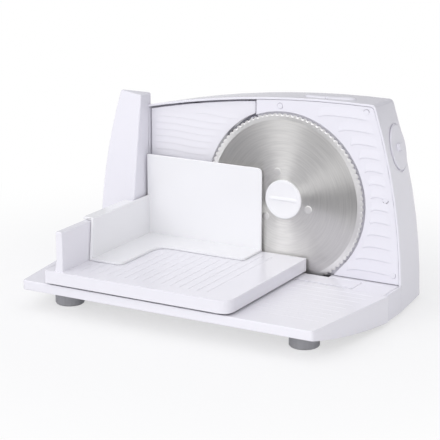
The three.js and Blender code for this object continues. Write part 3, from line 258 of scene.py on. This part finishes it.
def noise(tree, scale, detail, source=None):
    node = tree.nodes.new("ShaderNodeTexNoise")
    node.inputs["Scale"].default_value = scale
    node.inputs["Detail"].default_value = detail
    if source is None:
        place = tree.nodes.new("ShaderNodeTexCoord")
        source = place.outputs["Object"]
    tree.links.new(source, node.inputs["Vector"])
    return node.outputs["Fac"]


def spread(tree, factor, low, high):
    node = tree.nodes.new("ShaderNodeMapRange")
    node.inputs["From Min"].default_value = 0.3
    node.inputs["From Max"].default_value = 0.7
    node.inputs["To Min"].default_value = low
    node.inputs["To Max"].default_value = high
    tree.links.new(factor, node.inputs["Value"])
    return node.outputs["Result"]


def tint(tree, factor, first, second):
    node = tree.nodes.new("ShaderNodeMix")
    node.data_type = "RGBA"
    node.inputs["A"].default_value = (*first, 1)
    node.inputs["B"].default_value = (*second, 1)
    tree.links.new(factor, node.inputs["Factor"])
    return node.outputs["Result"]


def bump(tree, height, strength, distance):
    node = tree.nodes.new("ShaderNodeBump")
    node.inputs["Strength"].default_value = strength
    node.inputs["Distance"].default_value = distance
    tree.links.new(height, node.inputs["Height"])
    return node.outputs["Normal"]


def make_plastic(name, colour, roughness):
    material, tree, shader = new_material(name)
    mottle = noise(tree, 24, 3)
    darker = tuple(0.994 * c for c in colour)
    tree.links.new(tint(tree, mottle, darker, colour), shader.inputs["Base Color"])
    fine = noise(tree, 900, 2)
    tree.links.new(spread(tree, mottle, roughness - 0.012, roughness + 0.012), shader.inputs["Roughness"])
    tree.links.new(bump(tree, fine, 0.03, 0.0002), shader.inputs["Normal"])
    shader.inputs["IOR"].default_value = 1.5
    return material


def make_rubber(name, colour):
    material, tree, shader = new_material(name)
    mottle = noise(tree, 300, 4)
    darker = tuple(0.85 * c for c in colour)
    tree.links.new(tint(tree, mottle, darker, colour), shader.inputs["Base Color"])
    tree.links.new(spread(tree, mottle, 0.6, 0.75), shader.inputs["Roughness"])
    tree.links.new(bump(tree, noise(tree, 1500, 2), 0.1, 0.0003), shader.inputs["Normal"])
    return material


def make_metal(name, colour, roughness):
    material, tree, shader = new_material(name)
    mottle = noise(tree, 180, 4)
    darker = tuple(0.88 * c for c in colour)
    tree.links.new(tint(tree, mottle, darker, colour), shader.inputs["Base Color"])
    tree.links.new(spread(tree, mottle, roughness - 0.06, roughness + 0.06), shader.inputs["Roughness"])
    shader.inputs["Metallic"].default_value = 1
    return material


def make_blade_steel(name, colour):
    material, tree, shader = new_material(name)
    place = tree.nodes.new("ShaderNodeTexCoord")
    away = tree.nodes.new("ShaderNodeVectorMath")
    away.operation = "SUBTRACT"
    away.inputs[1].default_value = (BLADE_CENTRE.x, 0, BLADE_CENTRE.z)
    tree.links.new(place.outputs["Object"], away.inputs[0])
    flat = tree.nodes.new("ShaderNodeVectorMath")
    flat.operation = "MULTIPLY"
    flat.inputs[1].default_value = (1, 0, 1)
    tree.links.new(away.outputs["Vector"], flat.inputs[0])
    radius = tree.nodes.new("ShaderNodeVectorMath")
    radius.operation = "LENGTH"
    tree.links.new(flat.outputs["Vector"], radius.inputs[0])
    turn = tree.nodes.new("ShaderNodeVectorMath")
    turn.operation = "NORMALIZE"
    tree.links.new(flat.outputs["Vector"], turn.inputs[0])
    ring = tree.nodes.new("ShaderNodeMath")
    ring.operation = "MULTIPLY"
    ring.inputs[1].default_value = BRUSH_RINGS
    tree.links.new(radius.outputs["Value"], ring.inputs[0])
    outward = tree.nodes.new("ShaderNodeCombineXYZ")
    tree.links.new(ring.outputs["Value"], outward.inputs["Y"])
    brushed = tree.nodes.new("ShaderNodeVectorMath")
    brushed.operation = "ADD"
    tree.links.new(turn.outputs["Vector"], brushed.inputs[0])
    tree.links.new(outward.outputs["Vector"], brushed.inputs[1])
    lines = noise(tree, 2.4, 5, brushed.outputs["Vector"])
    darker = tuple(0.88 * c for c in colour)
    tree.links.new(spread(tree, lines, *BLADE_ROUGHNESS), shader.inputs["Roughness"])
    tree.links.new(bump(tree, lines, 0.012, 0.0002), shader.inputs["Normal"])
    tangent = tree.nodes.new("ShaderNodeTangent")
    tangent.direction_type = "RADIAL"
    tangent.axis = "Y"
    tree.links.new(tangent.outputs["Tangent"], shader.inputs["Tangent"])
    face = tree.nodes.new("ShaderNodeMath")
    face.operation = "LESS_THAN"
    face.inputs[1].default_value = BLADE_RADIUS - BLADE_BEVEL
    tree.links.new(radius.outputs["Value"], face.inputs[0])
    ground = tree.nodes.new("ShaderNodeMix")
    ground.data_type = "RGBA"
    ground.inputs["A"].default_value = (*GROUND_STEEL, 1)
    tree.links.new(face.outputs["Value"], ground.inputs["Factor"])
    tree.links.new(tint(tree, spread(tree, lines, 0, 1), darker, colour), ground.inputs["B"])
    tree.links.new(ground.outputs["Result"], shader.inputs["Base Color"])
    quarter = tree.nodes.new("ShaderNodeMath")
    quarter.operation = "MULTIPLY"
    quarter.inputs[1].default_value = BRUSH_TURN
    tree.links.new(face.outputs["Value"], quarter.inputs[0])
    tree.links.new(quarter.outputs["Value"], shader.inputs["Anisotropic Rotation"])
    shader.inputs["Anisotropic"].default_value = BRUSH_STRETCH
    shader.inputs["Metallic"].default_value = 1
    return material


materials = {
    "shell_plastic": make_plastic("shell_plastic", (0.80, 0.79, 0.85), 0.26),
    "tray_plastic": make_plastic("tray_plastic", (0.82, 0.81, 0.86), 0.24),
    "guard_plastic": make_plastic("guard_plastic", (0.86, 0.86, 0.88), 0.2),
    "blade_steel": make_blade_steel("blade_steel", (0.86, 0.85, 0.83)),
    "rivet_steel": make_metal("rivet_steel", (0.85, 0.84, 0.83), 0.56),
    "plain_steel": make_metal("plain_steel", (0.6, 0.6, 0.61), 0.28),
    "cast_zinc": make_metal("cast_zinc", (0.42, 0.43, 0.44), 0.42),
    "gear_plastic": make_plastic("gear_plastic", (0.8, 0.76, 0.68), 0.45),
    "bronze": make_metal("bronze", (0.5, 0.33, 0.12), 0.36),
    "foot_rubber": make_rubber("foot_rubber", (0.4, 0.4, 0.42)),
}


# Refined copies of the outside parts: joined facets, rounded edges, smooth shading
def edge_room(edge):
    room = 1.0
    for vertex in edge.verts:
        along = (edge.other_vert(vertex).co - vertex.co).normalized()
        for other in vertex.link_edges:
            if other is edge:
                continue
            away = other.other_vert(vertex).co - vertex.co
            if along.dot(away.normalized()) < STRAIGHT_ON:
                continue
            room = min(room, EDGE_SHARE * away.length)
    return room


def join_facets(mesh, node):
    shape = bmesh.new()
    shape.from_mesh(mesh)
    if node in LEVELS:
        axis, low, high, level = LEVELS[node]
        for vertex in shape.verts:
            if low < vertex.co[axis] < high:
                vertex.co[axis] = level
    bmesh.ops.remove_doubles(shape, verts=shape.verts, dist=JOIN_DISTANCE)
    bmesh.ops.dissolve_degenerate(shape, edges=shape.edges, dist=JOIN_DISTANCE)
    bmesh.ops.dissolve_limit(shape, angle_limit=FLAT_ANGLE, verts=shape.verts, edges=shape.edges)
    return shape


# Width of each rounded edge, the same along a chain of edges
def edge_widths(shape, radius):
    width = {}
    for edge in shape.edges:
        if len(edge.link_faces) == 2 and edge.calc_face_angle() > SHARP_ANGLE and edge.is_convex:
            width[edge] = min(radius, edge_room(edge))
    changed = True
    while changed:
        changed = False
        for edge in width:
            for vertex in edge.verts:
                along = (edge.other_vert(vertex).co - vertex.co).normalized()
                for other in vertex.link_edges:
                    if other is edge or other not in width:
                        continue
                    away = (other.other_vert(vertex).co - vertex.co).normalized()
                    if along.dot(away) < STRAIGHT_ON and width[other] < width[edge] - 1e-9:
                        width[edge] = width[other]
                        changed = True
    return width


# Moulded ridges: closed strips that sink into the face at their ends
def smooth_step(value):
    value = min(max(value, 0), 1)
    return value * value * (3 - 2 * value)


def add_ridge(shape, places, across, out, section, fade):
    rings = []
    last = len(places) - 1
    for i, place in enumerate(places):
        share = smooth_step(i / last / fade[0]) * smooth_step((1 - i / last) / fade[1])
        ring = []
        for along, height in section:
            lift = height * share - RIDGE_SINK * (1 - share)
            ring.append(shape.verts.new((place + along * across + lift * out) * MM))
        rings.append(ring)
    faces = [shape.faces.new(rings[0]), shape.faces.new(rings[-1])]
    count = len(section)
    for first, second in zip(rings, rings[1:]):
        for i in range(count):
            j = (i + 1) % count
            faces.append(shape.faces.new((first[i], first[j], second[j], second[i])))
    bmesh.ops.recalc_face_normals(shape, faces=faces)


def deck_ridges(shape):
    rib_points = [point.co / MM for point in frame["nodes"]["base"].data.vertices]
    rib_points = [point for point in rib_points if point.z > LEVELS["base"][1] / MM]
    for i in range(DECK_RIB_COUNT):
        y = DECK_RIB_FIRST_Y + i * DECK_RIB_PITCH + DECK_RIB_WIDTH / 2
        right = max(point.x for point in rib_points if abs(point.y - y) < DECK_RIB_WIDTH)
        places = []
        for step in range(RIDGE_STEPS + 1):
            x = DECK_RIB_LEFT_X + (right - DECK_RIB_LEFT_X) * step / RIDGE_STEPS
            places.append(Vector((x, y, LEVELS["base"][3] / MM)))
        add_ridge(shape, places, Vector((0, 1, 0)), Vector((0, 0, 1)), DECK_RIDGE, DECK_RIB_FADE)


def side_edge(z):
    share = (z - SIDE_FOOT[1]) / (SIDE_TOP[1] - SIDE_FOOT[1])
    return SIDE_FOOT[0] + share * (SIDE_TOP[0] - SIDE_FOOT[0]) + 4 * SIDE_BULGE * share * (1 - share)


def panel_ridges(shape):
    centre_x = BLADE_CENTRE.x / MM
    centre_z = BLADE_CENTRE.z / MM
    for i in range(PANEL_RIB_COUNT):
        apex = PANEL_RIB_FIRST_Z + i * PANEL_RIB_PITCH
        rise = apex - PANEL_RIB_LEFT_DROP - centre_z
        left = centre_x + math.sqrt(max(PANEL_RIB_RADIUS ** 2 - rise ** 2, 0))
        right = side_edge(apex - PANEL_RIB_RIGHT_DROP) - PANEL_RIB_MARGIN
        places = []
        for step in range(RIDGE_STEPS + 1):
            share = step / RIDGE_STEPS
            if share < PANEL_RIB_APEX:
                drop = PANEL_RIB_LEFT_DROP * (1 - share / PANEL_RIB_APEX) ** 3
            else:
                drop = PANEL_RIB_RIGHT_DROP * ((share - PANEL_RIB_APEX) / (1 - PANEL_RIB_APEX)) ** 2
            places.append(Vector((left + (right - left) * share, PANEL_FACE_Y, apex - drop)))
        add_ridge(shape, places, Vector((0, 0, 1)), Vector((0, -1, 0)), PANEL_RIDGE, PANEL_RIB_FADE)


def fence_ridges(shape):
    centre_x = BLADE_CENTRE.x / MM
    centre_z = BLADE_CENTRE.z / MM
    for i in range(FENCE_RIB_COUNT):
        z = FENCE_RIB_FIRST_Z + i * FENCE_RIB_PITCH
        reach = max(FENCE_RIB_RADIUS ** 2 - (z - centre_z) ** 2, 0)
        right = min(centre_x - math.sqrt(reach), FENCE_RIB_RIGHT_X)
        left = FENCE_RIB_LEFT_X + max(z + FENCE_RIB_HEADROOM - FENCE_TOP_LEFT_Z, 0) / FENCE_TOP_SLOPE
        places = []
        for step in range(RIDGE_STEPS + 1):
            share = step / RIDGE_STEPS
            x = left + (right - left) * share
            places.append(Vector((x, FENCE_FACE_Y, z + FENCE_RIB_BOW * math.sin(2 * math.pi * share))))
        add_ridge(shape, places, Vector((0, 0, 1)), Vector((0, -1, 0)), FENCE_RIDGE, FENCE_RIB_FADE)


RIDGES = {"base": deck_ridges, "front_panel": panel_ridges, "fence_plate": fence_ridges}


# Tower drawn in behind its rim: the top falls less and the sides come in more than in the solid
def rear_depth(y):
    return max(y - RIM_Y, 0) / (REAR_EDGE_Y - RIM_Y)


def side_pull(z):
    share = smooth_step((z - SIDE_PULL_FROM) / SIDE_PULL_REACH)
    return SIDE_PULL_LOW + (SIDE_PULL_HIGH - SIDE_PULL_LOW) * share


dial_joint = next(row for row in record["behaviour"]["joints"] if row["name"] == "dial_turn")
dial_place = Vector(dial_joint["pos_m"])
dial_axis = Vector(dial_joint["axis"])
dial_along = dial_axis.cross(Vector((0, 0, 1))).normalized()
dial_points = frame["nodes"]["thickness_dial"].data.vertices
dial_face = max((point.co - dial_place).dot(dial_axis) for point in dial_points) - DIAL_GRIP_HEIGHT


def shape_tower(place):
    depth = rear_depth(place.y)
    lift = TOP_LIFT * depth * smooth_step((place.z - TOP_LIFT_FROM) / TOP_LIFT_REACH)
    start = SIDE_START_RIGHT if place.x > 0 else SIDE_START_LEFT
    pull = side_pull(place.z) * depth * smooth_step((abs(place.x) - start) / SIDE_BLEND)
    moved = place + Vector((-math.copysign(pull, place.x), 0, lift))
    offset = place - dial_place
    height = offset.dot(dial_axis)
    if (offset - height * dial_axis).length > DIAL_SEAT:
        return moved
    return place + dial_axis * DIAL_SHIFT


def shape_dial(place):
    offset = place - dial_place
    height = offset.dot(dial_axis)
    across = offset - height * dial_axis
    level = height
    if height > DIAL_ROOT:
        level = DIAL_ROOT + DIAL_FLATTEN * (height - DIAL_ROOT)
    if height > dial_face - DIAL_FACE_SLACK and across.length < DIAL_GRIP_REACH:
        level += (1 - DIAL_FLATTEN) * (height - dial_face)
        place = place - dial_along * (1 - DIAL_GRIP_SHARE) * across.dot(dial_along)
    return place + dial_axis * (DIAL_SHIFT + level - height)


def shape_rocker(place):
    lift = TOP_LIFT * rear_depth(place.y) * smooth_step((place.z - ROCKER_FOOT) / ROCKER_STEM)
    flatten = ROCKER_FLATTEN * smooth_step((place.z - ROCKER_FLAT_FROM) / ROCKER_FLAT_REACH)
    return place + Vector((0, 0, lift - flatten))


def set_level(place, low, high, level):
    return Vector((place.x, place.y, level)) if low < place.z < high else place


def shape_carriage(place):
    return set_level(place, *CARRIAGE_LINE)


def shape_panel(place):
    return set_level(place, *PANEL_FOOT)


SHAPES = {
    "rear_shell": shape_tower,
    "thickness_dial": shape_dial,
    "switch_rocker": shape_rocker,
    "carriage": shape_carriage,
    "front_panel": shape_panel,
}


def dress(piece, node, material=None):
    piece.data.materials.clear()
    piece.data.materials.append(material or materials[slot_of[node]])
    bpy.context.scene.collection.objects.link(piece)
    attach(piece, body_of[node])
    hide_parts(node)
    return piece


def smooth_normals(piece):
    weighted = piece.modifiers.new("normals", "WEIGHTED_NORMAL")
    weighted.mode = "FACE_AREA"
    weighted.weight = 50
    weighted.keep_sharp = True


def refine(node, radius):
    mesh = frame["nodes"][node].data.copy()
    mesh.name = node + "_look"
    shape = join_facets(mesh, node)
    if node in SHAPES:
        for vertex in shape.verts:
            vertex.co = SHAPES[node](vertex.co.copy())
    weights = shape.edges.layers.float.new("bevel_weight_edge")
    widths = edge_widths(shape, radius)
    bare = BARE_BELOW.get(node, 0)
    for edge in shape.edges:
        width = widths.get(edge, 0)
        if max(vertex.co.z for vertex in edge.verts) < bare:
            width = 0
        edge[weights] = width / radius if width > SMALLEST_EDGE else 0
        blunt = len(edge.link_faces) == 2 and edge.calc_face_angle() < SHARP_ANGLE
        edge.smooth = blunt or width > SMALLEST_EDGE
    if node in RIDGES:
        RIDGES[node](shape)
    for face in shape.faces:
        face.smooth = True
    if "custom_normal" in mesh.attributes:
        mesh.attributes.remove(mesh.attributes["custom_normal"])
    shape.to_mesh(mesh)
    shape.free()
    piece = dress(bpy.data.objects.new(node + "_look", mesh), node)
    rounding = piece.modifiers.new("edges", "BEVEL")
    rounding.limit_method = "WEIGHT"
    rounding.width = radius
    rounding.segments = EDGE_SEGMENTS
    rounding.use_clamp_overlap = False
    smooth_normals(piece)
    return piece


for node, radius in EDGE_RADIUS.items():
    refine(node, radius)


# Blade: flat face, ground bevel and scalloped cutting edge
def blade_point(radius, angle, y):
    return (BLADE_CENTRE.x + radius * math.cos(angle), y, BLADE_CENTRE.z + radius * math.sin(angle))


def make_blade():
    count = SCALLOP_COUNT * SCALLOP_STEPS
    bevel_start = BLADE_RADIUS - BLADE_BEVEL
    mid_y = (BLADE_FRONT_Y + BLADE_REAR_Y) / 2
    rings = []

    def ring(radius_at, y_at):
        rings.append([])
        for i in range(count):
            angle = 2 * math.pi * i / count
            hollow = 1 - abs(math.cos(math.pi * i / SCALLOP_STEPS))
            rings[-1].append(blade_point(radius_at(hollow), angle, y_at(hollow)))

    ring(lambda hollow: BLADE_BORE, lambda hollow: BLADE_REAR_Y)
    ring(lambda hollow: BLADE_BORE, lambda hollow: BLADE_FRONT_Y)
    ring(lambda hollow: bevel_start, lambda hollow: BLADE_FRONT_Y)
    ring(lambda hollow: BLADE_RADIUS - SCALLOP_REACH, lambda hollow: mid_y)
    ring(lambda hollow: BLADE_RADIUS - SCALLOP_DEPTH * hollow, lambda hollow: BLADE_REAR_Y - BLADE_LIP)
    ring(lambda hollow: BLADE_RADIUS - SCALLOP_DEPTH * hollow, lambda hollow: BLADE_REAR_Y)
    points = [point for one in rings for point in one]
    faces = []
    for r in range(len(rings)):
        after = (r + 1) % len(rings)
        for i in range(count):
            j = (i + 1) % count
            faces.append((r * count + i, r * count + j, after * count + j, after * count + i))
    mesh = bpy.data.meshes.new("blade_look")
    mesh.from_pydata(points, [], faces)
    mesh.update()
    shape = bmesh.new()
    shape.from_mesh(mesh)
    bmesh.ops.recalc_face_normals(shape, faces=shape.faces)
    for edge in shape.edges:
        edge.smooth = edge.calc_face_angle() < BLADE_SHARP_ANGLE
    for face in shape.faces:
        face.smooth = True
    shape.to_mesh(mesh)
    shape.free()
    return dress(bpy.data.objects.new("blade_look", mesh), "blade")


make_blade()


# Turned pieces: rings of points about a line along Y, closed at both ends
def turned(name, centre, rings, sides, sharp):
    points = []
    for radius, y_at in rings:
        for i in range(sides):
            angle = 2 * math.pi * i / sides
            across = radius * math.cos(angle)
            up = radius * math.sin(angle)
            points.append((centre.x + across * MM, y_at(across, up) * MM, centre.z + up * MM))
    faces = [tuple(range(sides)), tuple(range(len(points) - sides, len(points)))]
    for r in range(len(rings) - 1):
        for i in range(sides):
            j = (i + 1) % sides
            faces.append((r * sides + i, r * sides + j, (r + 1) * sides + j, (r + 1) * sides + i))
    mesh = bpy.data.meshes.new(name)
    mesh.from_pydata(points, [], faces)
    shape = bmesh.new()
    shape.from_mesh(mesh)
    bmesh.ops.recalc_face_normals(shape, faces=shape.faces)
    for edge in shape.edges:
        edge.smooth = edge.calc_face_angle() < sharp
    for face in shape.faces:
        face.smooth = True
    shape.to_mesh(mesh)
    shape.free()
    return bpy.data.objects.new(name, mesh)


def knob_face(across, up):
    share = math.hypot(across, up) / KNOB_SCOOP_RADIUS
    if share >= 1:
        return KNOB_FRONT_Y
    bank = smooth_step((abs(up) - KNOB_RIDGE_FLAT) / (KNOB_RIDGE_FOOT - KNOB_RIDGE_FLAT))
    return KNOB_FRONT_Y + KNOB_SCOOP_DEPTH * bank * (1 - share ** KNOB_SCOOP_POWER)


def make_knob():
    flat = KNOB_RADIUS - KNOB_EDGE
    rings = [(flat * max(i, KNOB_CENTRE_RING) / KNOB_RINGS, knob_face) for i in range(KNOB_RINGS + 1)]
    for i in range(1, KNOB_EDGE_STEPS + 1):
        angle = math.pi / 2 * i / KNOB_EDGE_STEPS
        y = KNOB_FRONT_Y + KNOB_EDGE * (1 - math.cos(angle))
        rings.append((flat + KNOB_EDGE * math.sin(angle), lambda across, up, y=y: y))
    rings.append((KNOB_RADIUS, lambda across, up: KNOB_REAR_Y))
    rings.append((KNOB_SHANK_RADIUS, lambda across, up: KNOB_REAR_Y))
    rings.append((KNOB_SHANK_RADIUS, lambda across, up: KNOB_SHANK_Y))
    knob = turned("blade_lock_knob_look", BLADE_CENTRE, rings, KNOB_SIDES, SHARP_ANGLE)
    dress(knob, "blade_lock_knob")


def make_rivet(node):
    corners = [Vector(point.co) for point in frame["nodes"][node].data.vertices]
    low = Vector([min(corner[i] for corner in corners) for i in range(3)])
    high = Vector([max(corner[i] for corner in corners) for i in range(3)])
    face_y = BLADE_FRONT_Y / MM
    profile = [
        (0.02, face_y - RIVET_PROUD), (RIVET_RADIUS - 1.1, face_y - RIVET_PROUD),
        (RIVET_RADIUS - 0.5, face_y - RIVET_PROUD + 0.12), (RIVET_RADIUS - 0.15, face_y - 0.15),
        (RIVET_RADIUS, face_y + 0.1), (RIVET_RADIUS, face_y + 0.4), (RIVET_RADIUS / 2, face_y + 0.4),
        (RIVET_RADIUS / 2, RIVET_REAR_Y),
    ]
    rings = [(radius, lambda across, up, y=y: y) for radius, y in profile]
    rivet = turned(node + "_look", (low + high) / 2, rings, RIVET_SIDES, RIVET_SHARP_ANGLE)
    dress(rivet, node, materials["rivet_steel"])


make_knob()
for number in range(1, 4):
    make_rivet(f"blade_rivet_{number}")

# Parts inside keep their own shape and take their finish
shown = {node for node, part in frame["nodes"].items() if not part.hide_render}
for node in sorted(shown):
    part = frame["nodes"][node]
    part.data.materials.clear()
    part.data.materials.append(materials[slot_of[node]])


# Studio: pale floor, soft light and white backdrop
def emission(tree, strength):
    node = tree.nodes.new("ShaderNodeEmission")
    node.inputs["Color"].default_value = (1, 1, 1, 1)
    node.inputs["Strength"].default_value = strength
    return node.outputs["Emission"]


def mix_shaders(tree, factor, first, second):
    node = tree.nodes.new("ShaderNodeMixShader")
    tree.links.new(factor, node.inputs["Fac"])
    tree.links.new(first, node.inputs[1])
    tree.links.new(second, node.inputs[2])
    return node.outputs["Shader"]


def larger(tree, first, second):
    node = tree.nodes.new("ShaderNodeMath")
    node.operation = "MAXIMUM"
    tree.links.new(first, node.inputs[0])
    tree.links.new(second, node.inputs[1])
    return node.outputs["Value"]


def make_floor():
    mesh = bpy.data.meshes.new("floor")
    turns = [(-1, -1), (1, -1), (1, 1), (-1, 1)]
    corners = [(x * FLOOR_REACH, y * FLOOR_REACH, 0) for x, y in turns]
    mesh.from_pydata(corners, [], [(0, 1, 2, 3)])
    floor = bpy.data.objects.new("floor", mesh)
    bpy.context.scene.collection.objects.link(floor)
    material, tree, shader = new_material("floor")
    shader.inputs["Base Color"].default_value = FLOOR_COLOUR
    shader.inputs["Roughness"].default_value = MATT
    shader.inputs["Specular IOR Level"].default_value = 0
    place = tree.nodes.new("ShaderNodeTexCoord")
    distance = tree.nodes.new("ShaderNodeVectorMath")
    distance.operation = "LENGTH"
    tree.links.new(place.outputs["Object"], distance.inputs[0])
    fade = tree.nodes.new("ShaderNodeMapRange")
    fade.interpolation_type = "SMOOTHSTEP"
    fade.inputs["From Min"].default_value = FLOOR_NEAR
    fade.inputs["From Max"].default_value = FLOOR_FAR
    fade.inputs["To Min"].default_value = FLOOR_GLOW
    tree.links.new(distance.outputs["Value"], fade.inputs["Value"])
    ray = tree.nodes.new("ShaderNodeLightPath")
    seen = larger(tree, ray.outputs["Is Camera Ray"], ray.outputs["Is Glossy Ray"])
    seen = larger(tree, seen, ray.outputs["Is Transmission Ray"])
    white = tree.nodes.new("ShaderNodeMath")
    white.operation = "MULTIPLY"
    tree.links.new(fade.outputs["Result"], white.inputs[0])
    tree.links.new(seen, white.inputs[1])
    lit = mix_shaders(tree, white.outputs["Value"], shader.outputs["BSDF"], emission(tree, 1))
    tree.links.new(lit, tree.nodes["Material Output"].inputs["Surface"])
    mesh.materials.append(material)


def make_light(name, place, width, height, power):
    data = bpy.data.lights.new(name, "AREA")
    data.shape = "RECTANGLE"
    data.size = width
    data.size_y = height
    data.energy = power
    light = bpy.data.objects.new(name, data)
    light.location = place
    light.rotation_mode = "QUATERNION"
    light.rotation_quaternion = (LAMP_TARGET - place).to_track_quat("-Z", "Y")
    bpy.context.scene.collection.objects.link(light)


def make_world():
    world = bpy.data.worlds.new("studio")
    world.use_nodes = True
    bpy.context.scene.world = world
    tree = world.node_tree
    tree.nodes.clear()
    place = tree.nodes.new("ShaderNodeTexCoord")
    lean = tree.nodes.new("ShaderNodeVectorMath")
    lean.operation = "DOT_PRODUCT"
    lean.inputs[1].default_value = SKY_LEAN
    tree.links.new(place.outputs["Generated"], lean.inputs[0])
    level = tree.nodes.new("ShaderNodeMath")
    level.operation = "ADD"
    level.inputs[1].default_value = SKY_LEVEL
    tree.links.new(lean.outputs["Value"], level.inputs[0])
    split = tree.nodes.new("ShaderNodeSeparateXYZ")
    tree.links.new(place.outputs["Generated"], split.inputs["Vector"])
    behind = tree.nodes.new("ShaderNodeMapRange")
    behind.interpolation_type = "SMOOTHSTEP"
    behind.inputs["From Min"].default_value = SKY_BEHIND_FROM
    behind.inputs["From Max"].default_value = SKY_BEHIND_TO
    behind.inputs["To Min"].default_value = 1
    behind.inputs["To Max"].default_value = SKY_BEHIND
    tree.links.new(split.outputs["Y"], behind.inputs["Value"])
    strength = tree.nodes.new("ShaderNodeMath")
    strength.operation = "MULTIPLY"
    tree.links.new(level.outputs["Value"], strength.inputs[0])
    tree.links.new(behind.outputs["Result"], strength.inputs[1])
    soft = tree.nodes.new("ShaderNodeBackground")
    soft.inputs["Color"].default_value = SKY_COLOUR
    tree.links.new(strength.outputs["Value"], soft.inputs["Strength"])
    out = tree.nodes.new("ShaderNodeOutputWorld")
    tree.links.new(soft.outputs["Background"], out.inputs["Surface"])


# Dark cards, out of the picture, that only the steel and gloss reflect
def make_card(name, corners):
    mesh = bpy.data.meshes.new(name)
    points = []
    for bearing, reach, height in corners:
        angle = math.radians(bearing)
        across = BLADE_CENTRE.x + reach * math.sin(angle)
        ahead = BLADE_FRONT_Y - reach * math.cos(angle)
        points.append((across, ahead, height))
    mesh.from_pydata(points, [], [tuple(range(len(points)))])
    card = bpy.data.objects.new(name, mesh)
    bpy.context.scene.collection.objects.link(card)
    material, tree, shader = new_material(name)
    shader.inputs["Base Color"].default_value = CARD_COLOUR
    shader.inputs["Roughness"].default_value = MATT
    mesh.materials.append(material)
    card.visible_camera = False
    card.visible_diffuse = False
    card.visible_shadow = False


make_floor()
make_world()
make_card("floor_card", FLOOR_CARD)
make_card("standing_card", STANDING_CARD)
make_light("key", *KEY_LAMP)
make_light("fill", *FILL_LAMP)

camera_data = bpy.data.cameras.new("camera")
camera_data.lens = CAMERA_LENS
camera_data.sensor_width = CAMERA_SENSOR
camera_data.clip_start = 0.05
camera_data.clip_end = 50
camera = bpy.data.objects.new("camera", camera_data)
camera.location = CAMERA_PLACE
camera.rotation_mode = "QUATERNION"
camera.rotation_quaternion = (CAMERA_TARGET - CAMERA_PLACE).to_track_quat("-Z", "Y")
bpy.context.scene.collection.objects.link(camera)
bpy.context.scene.camera = camera
bpy.context.scene.view_settings.view_transform = "Standard"
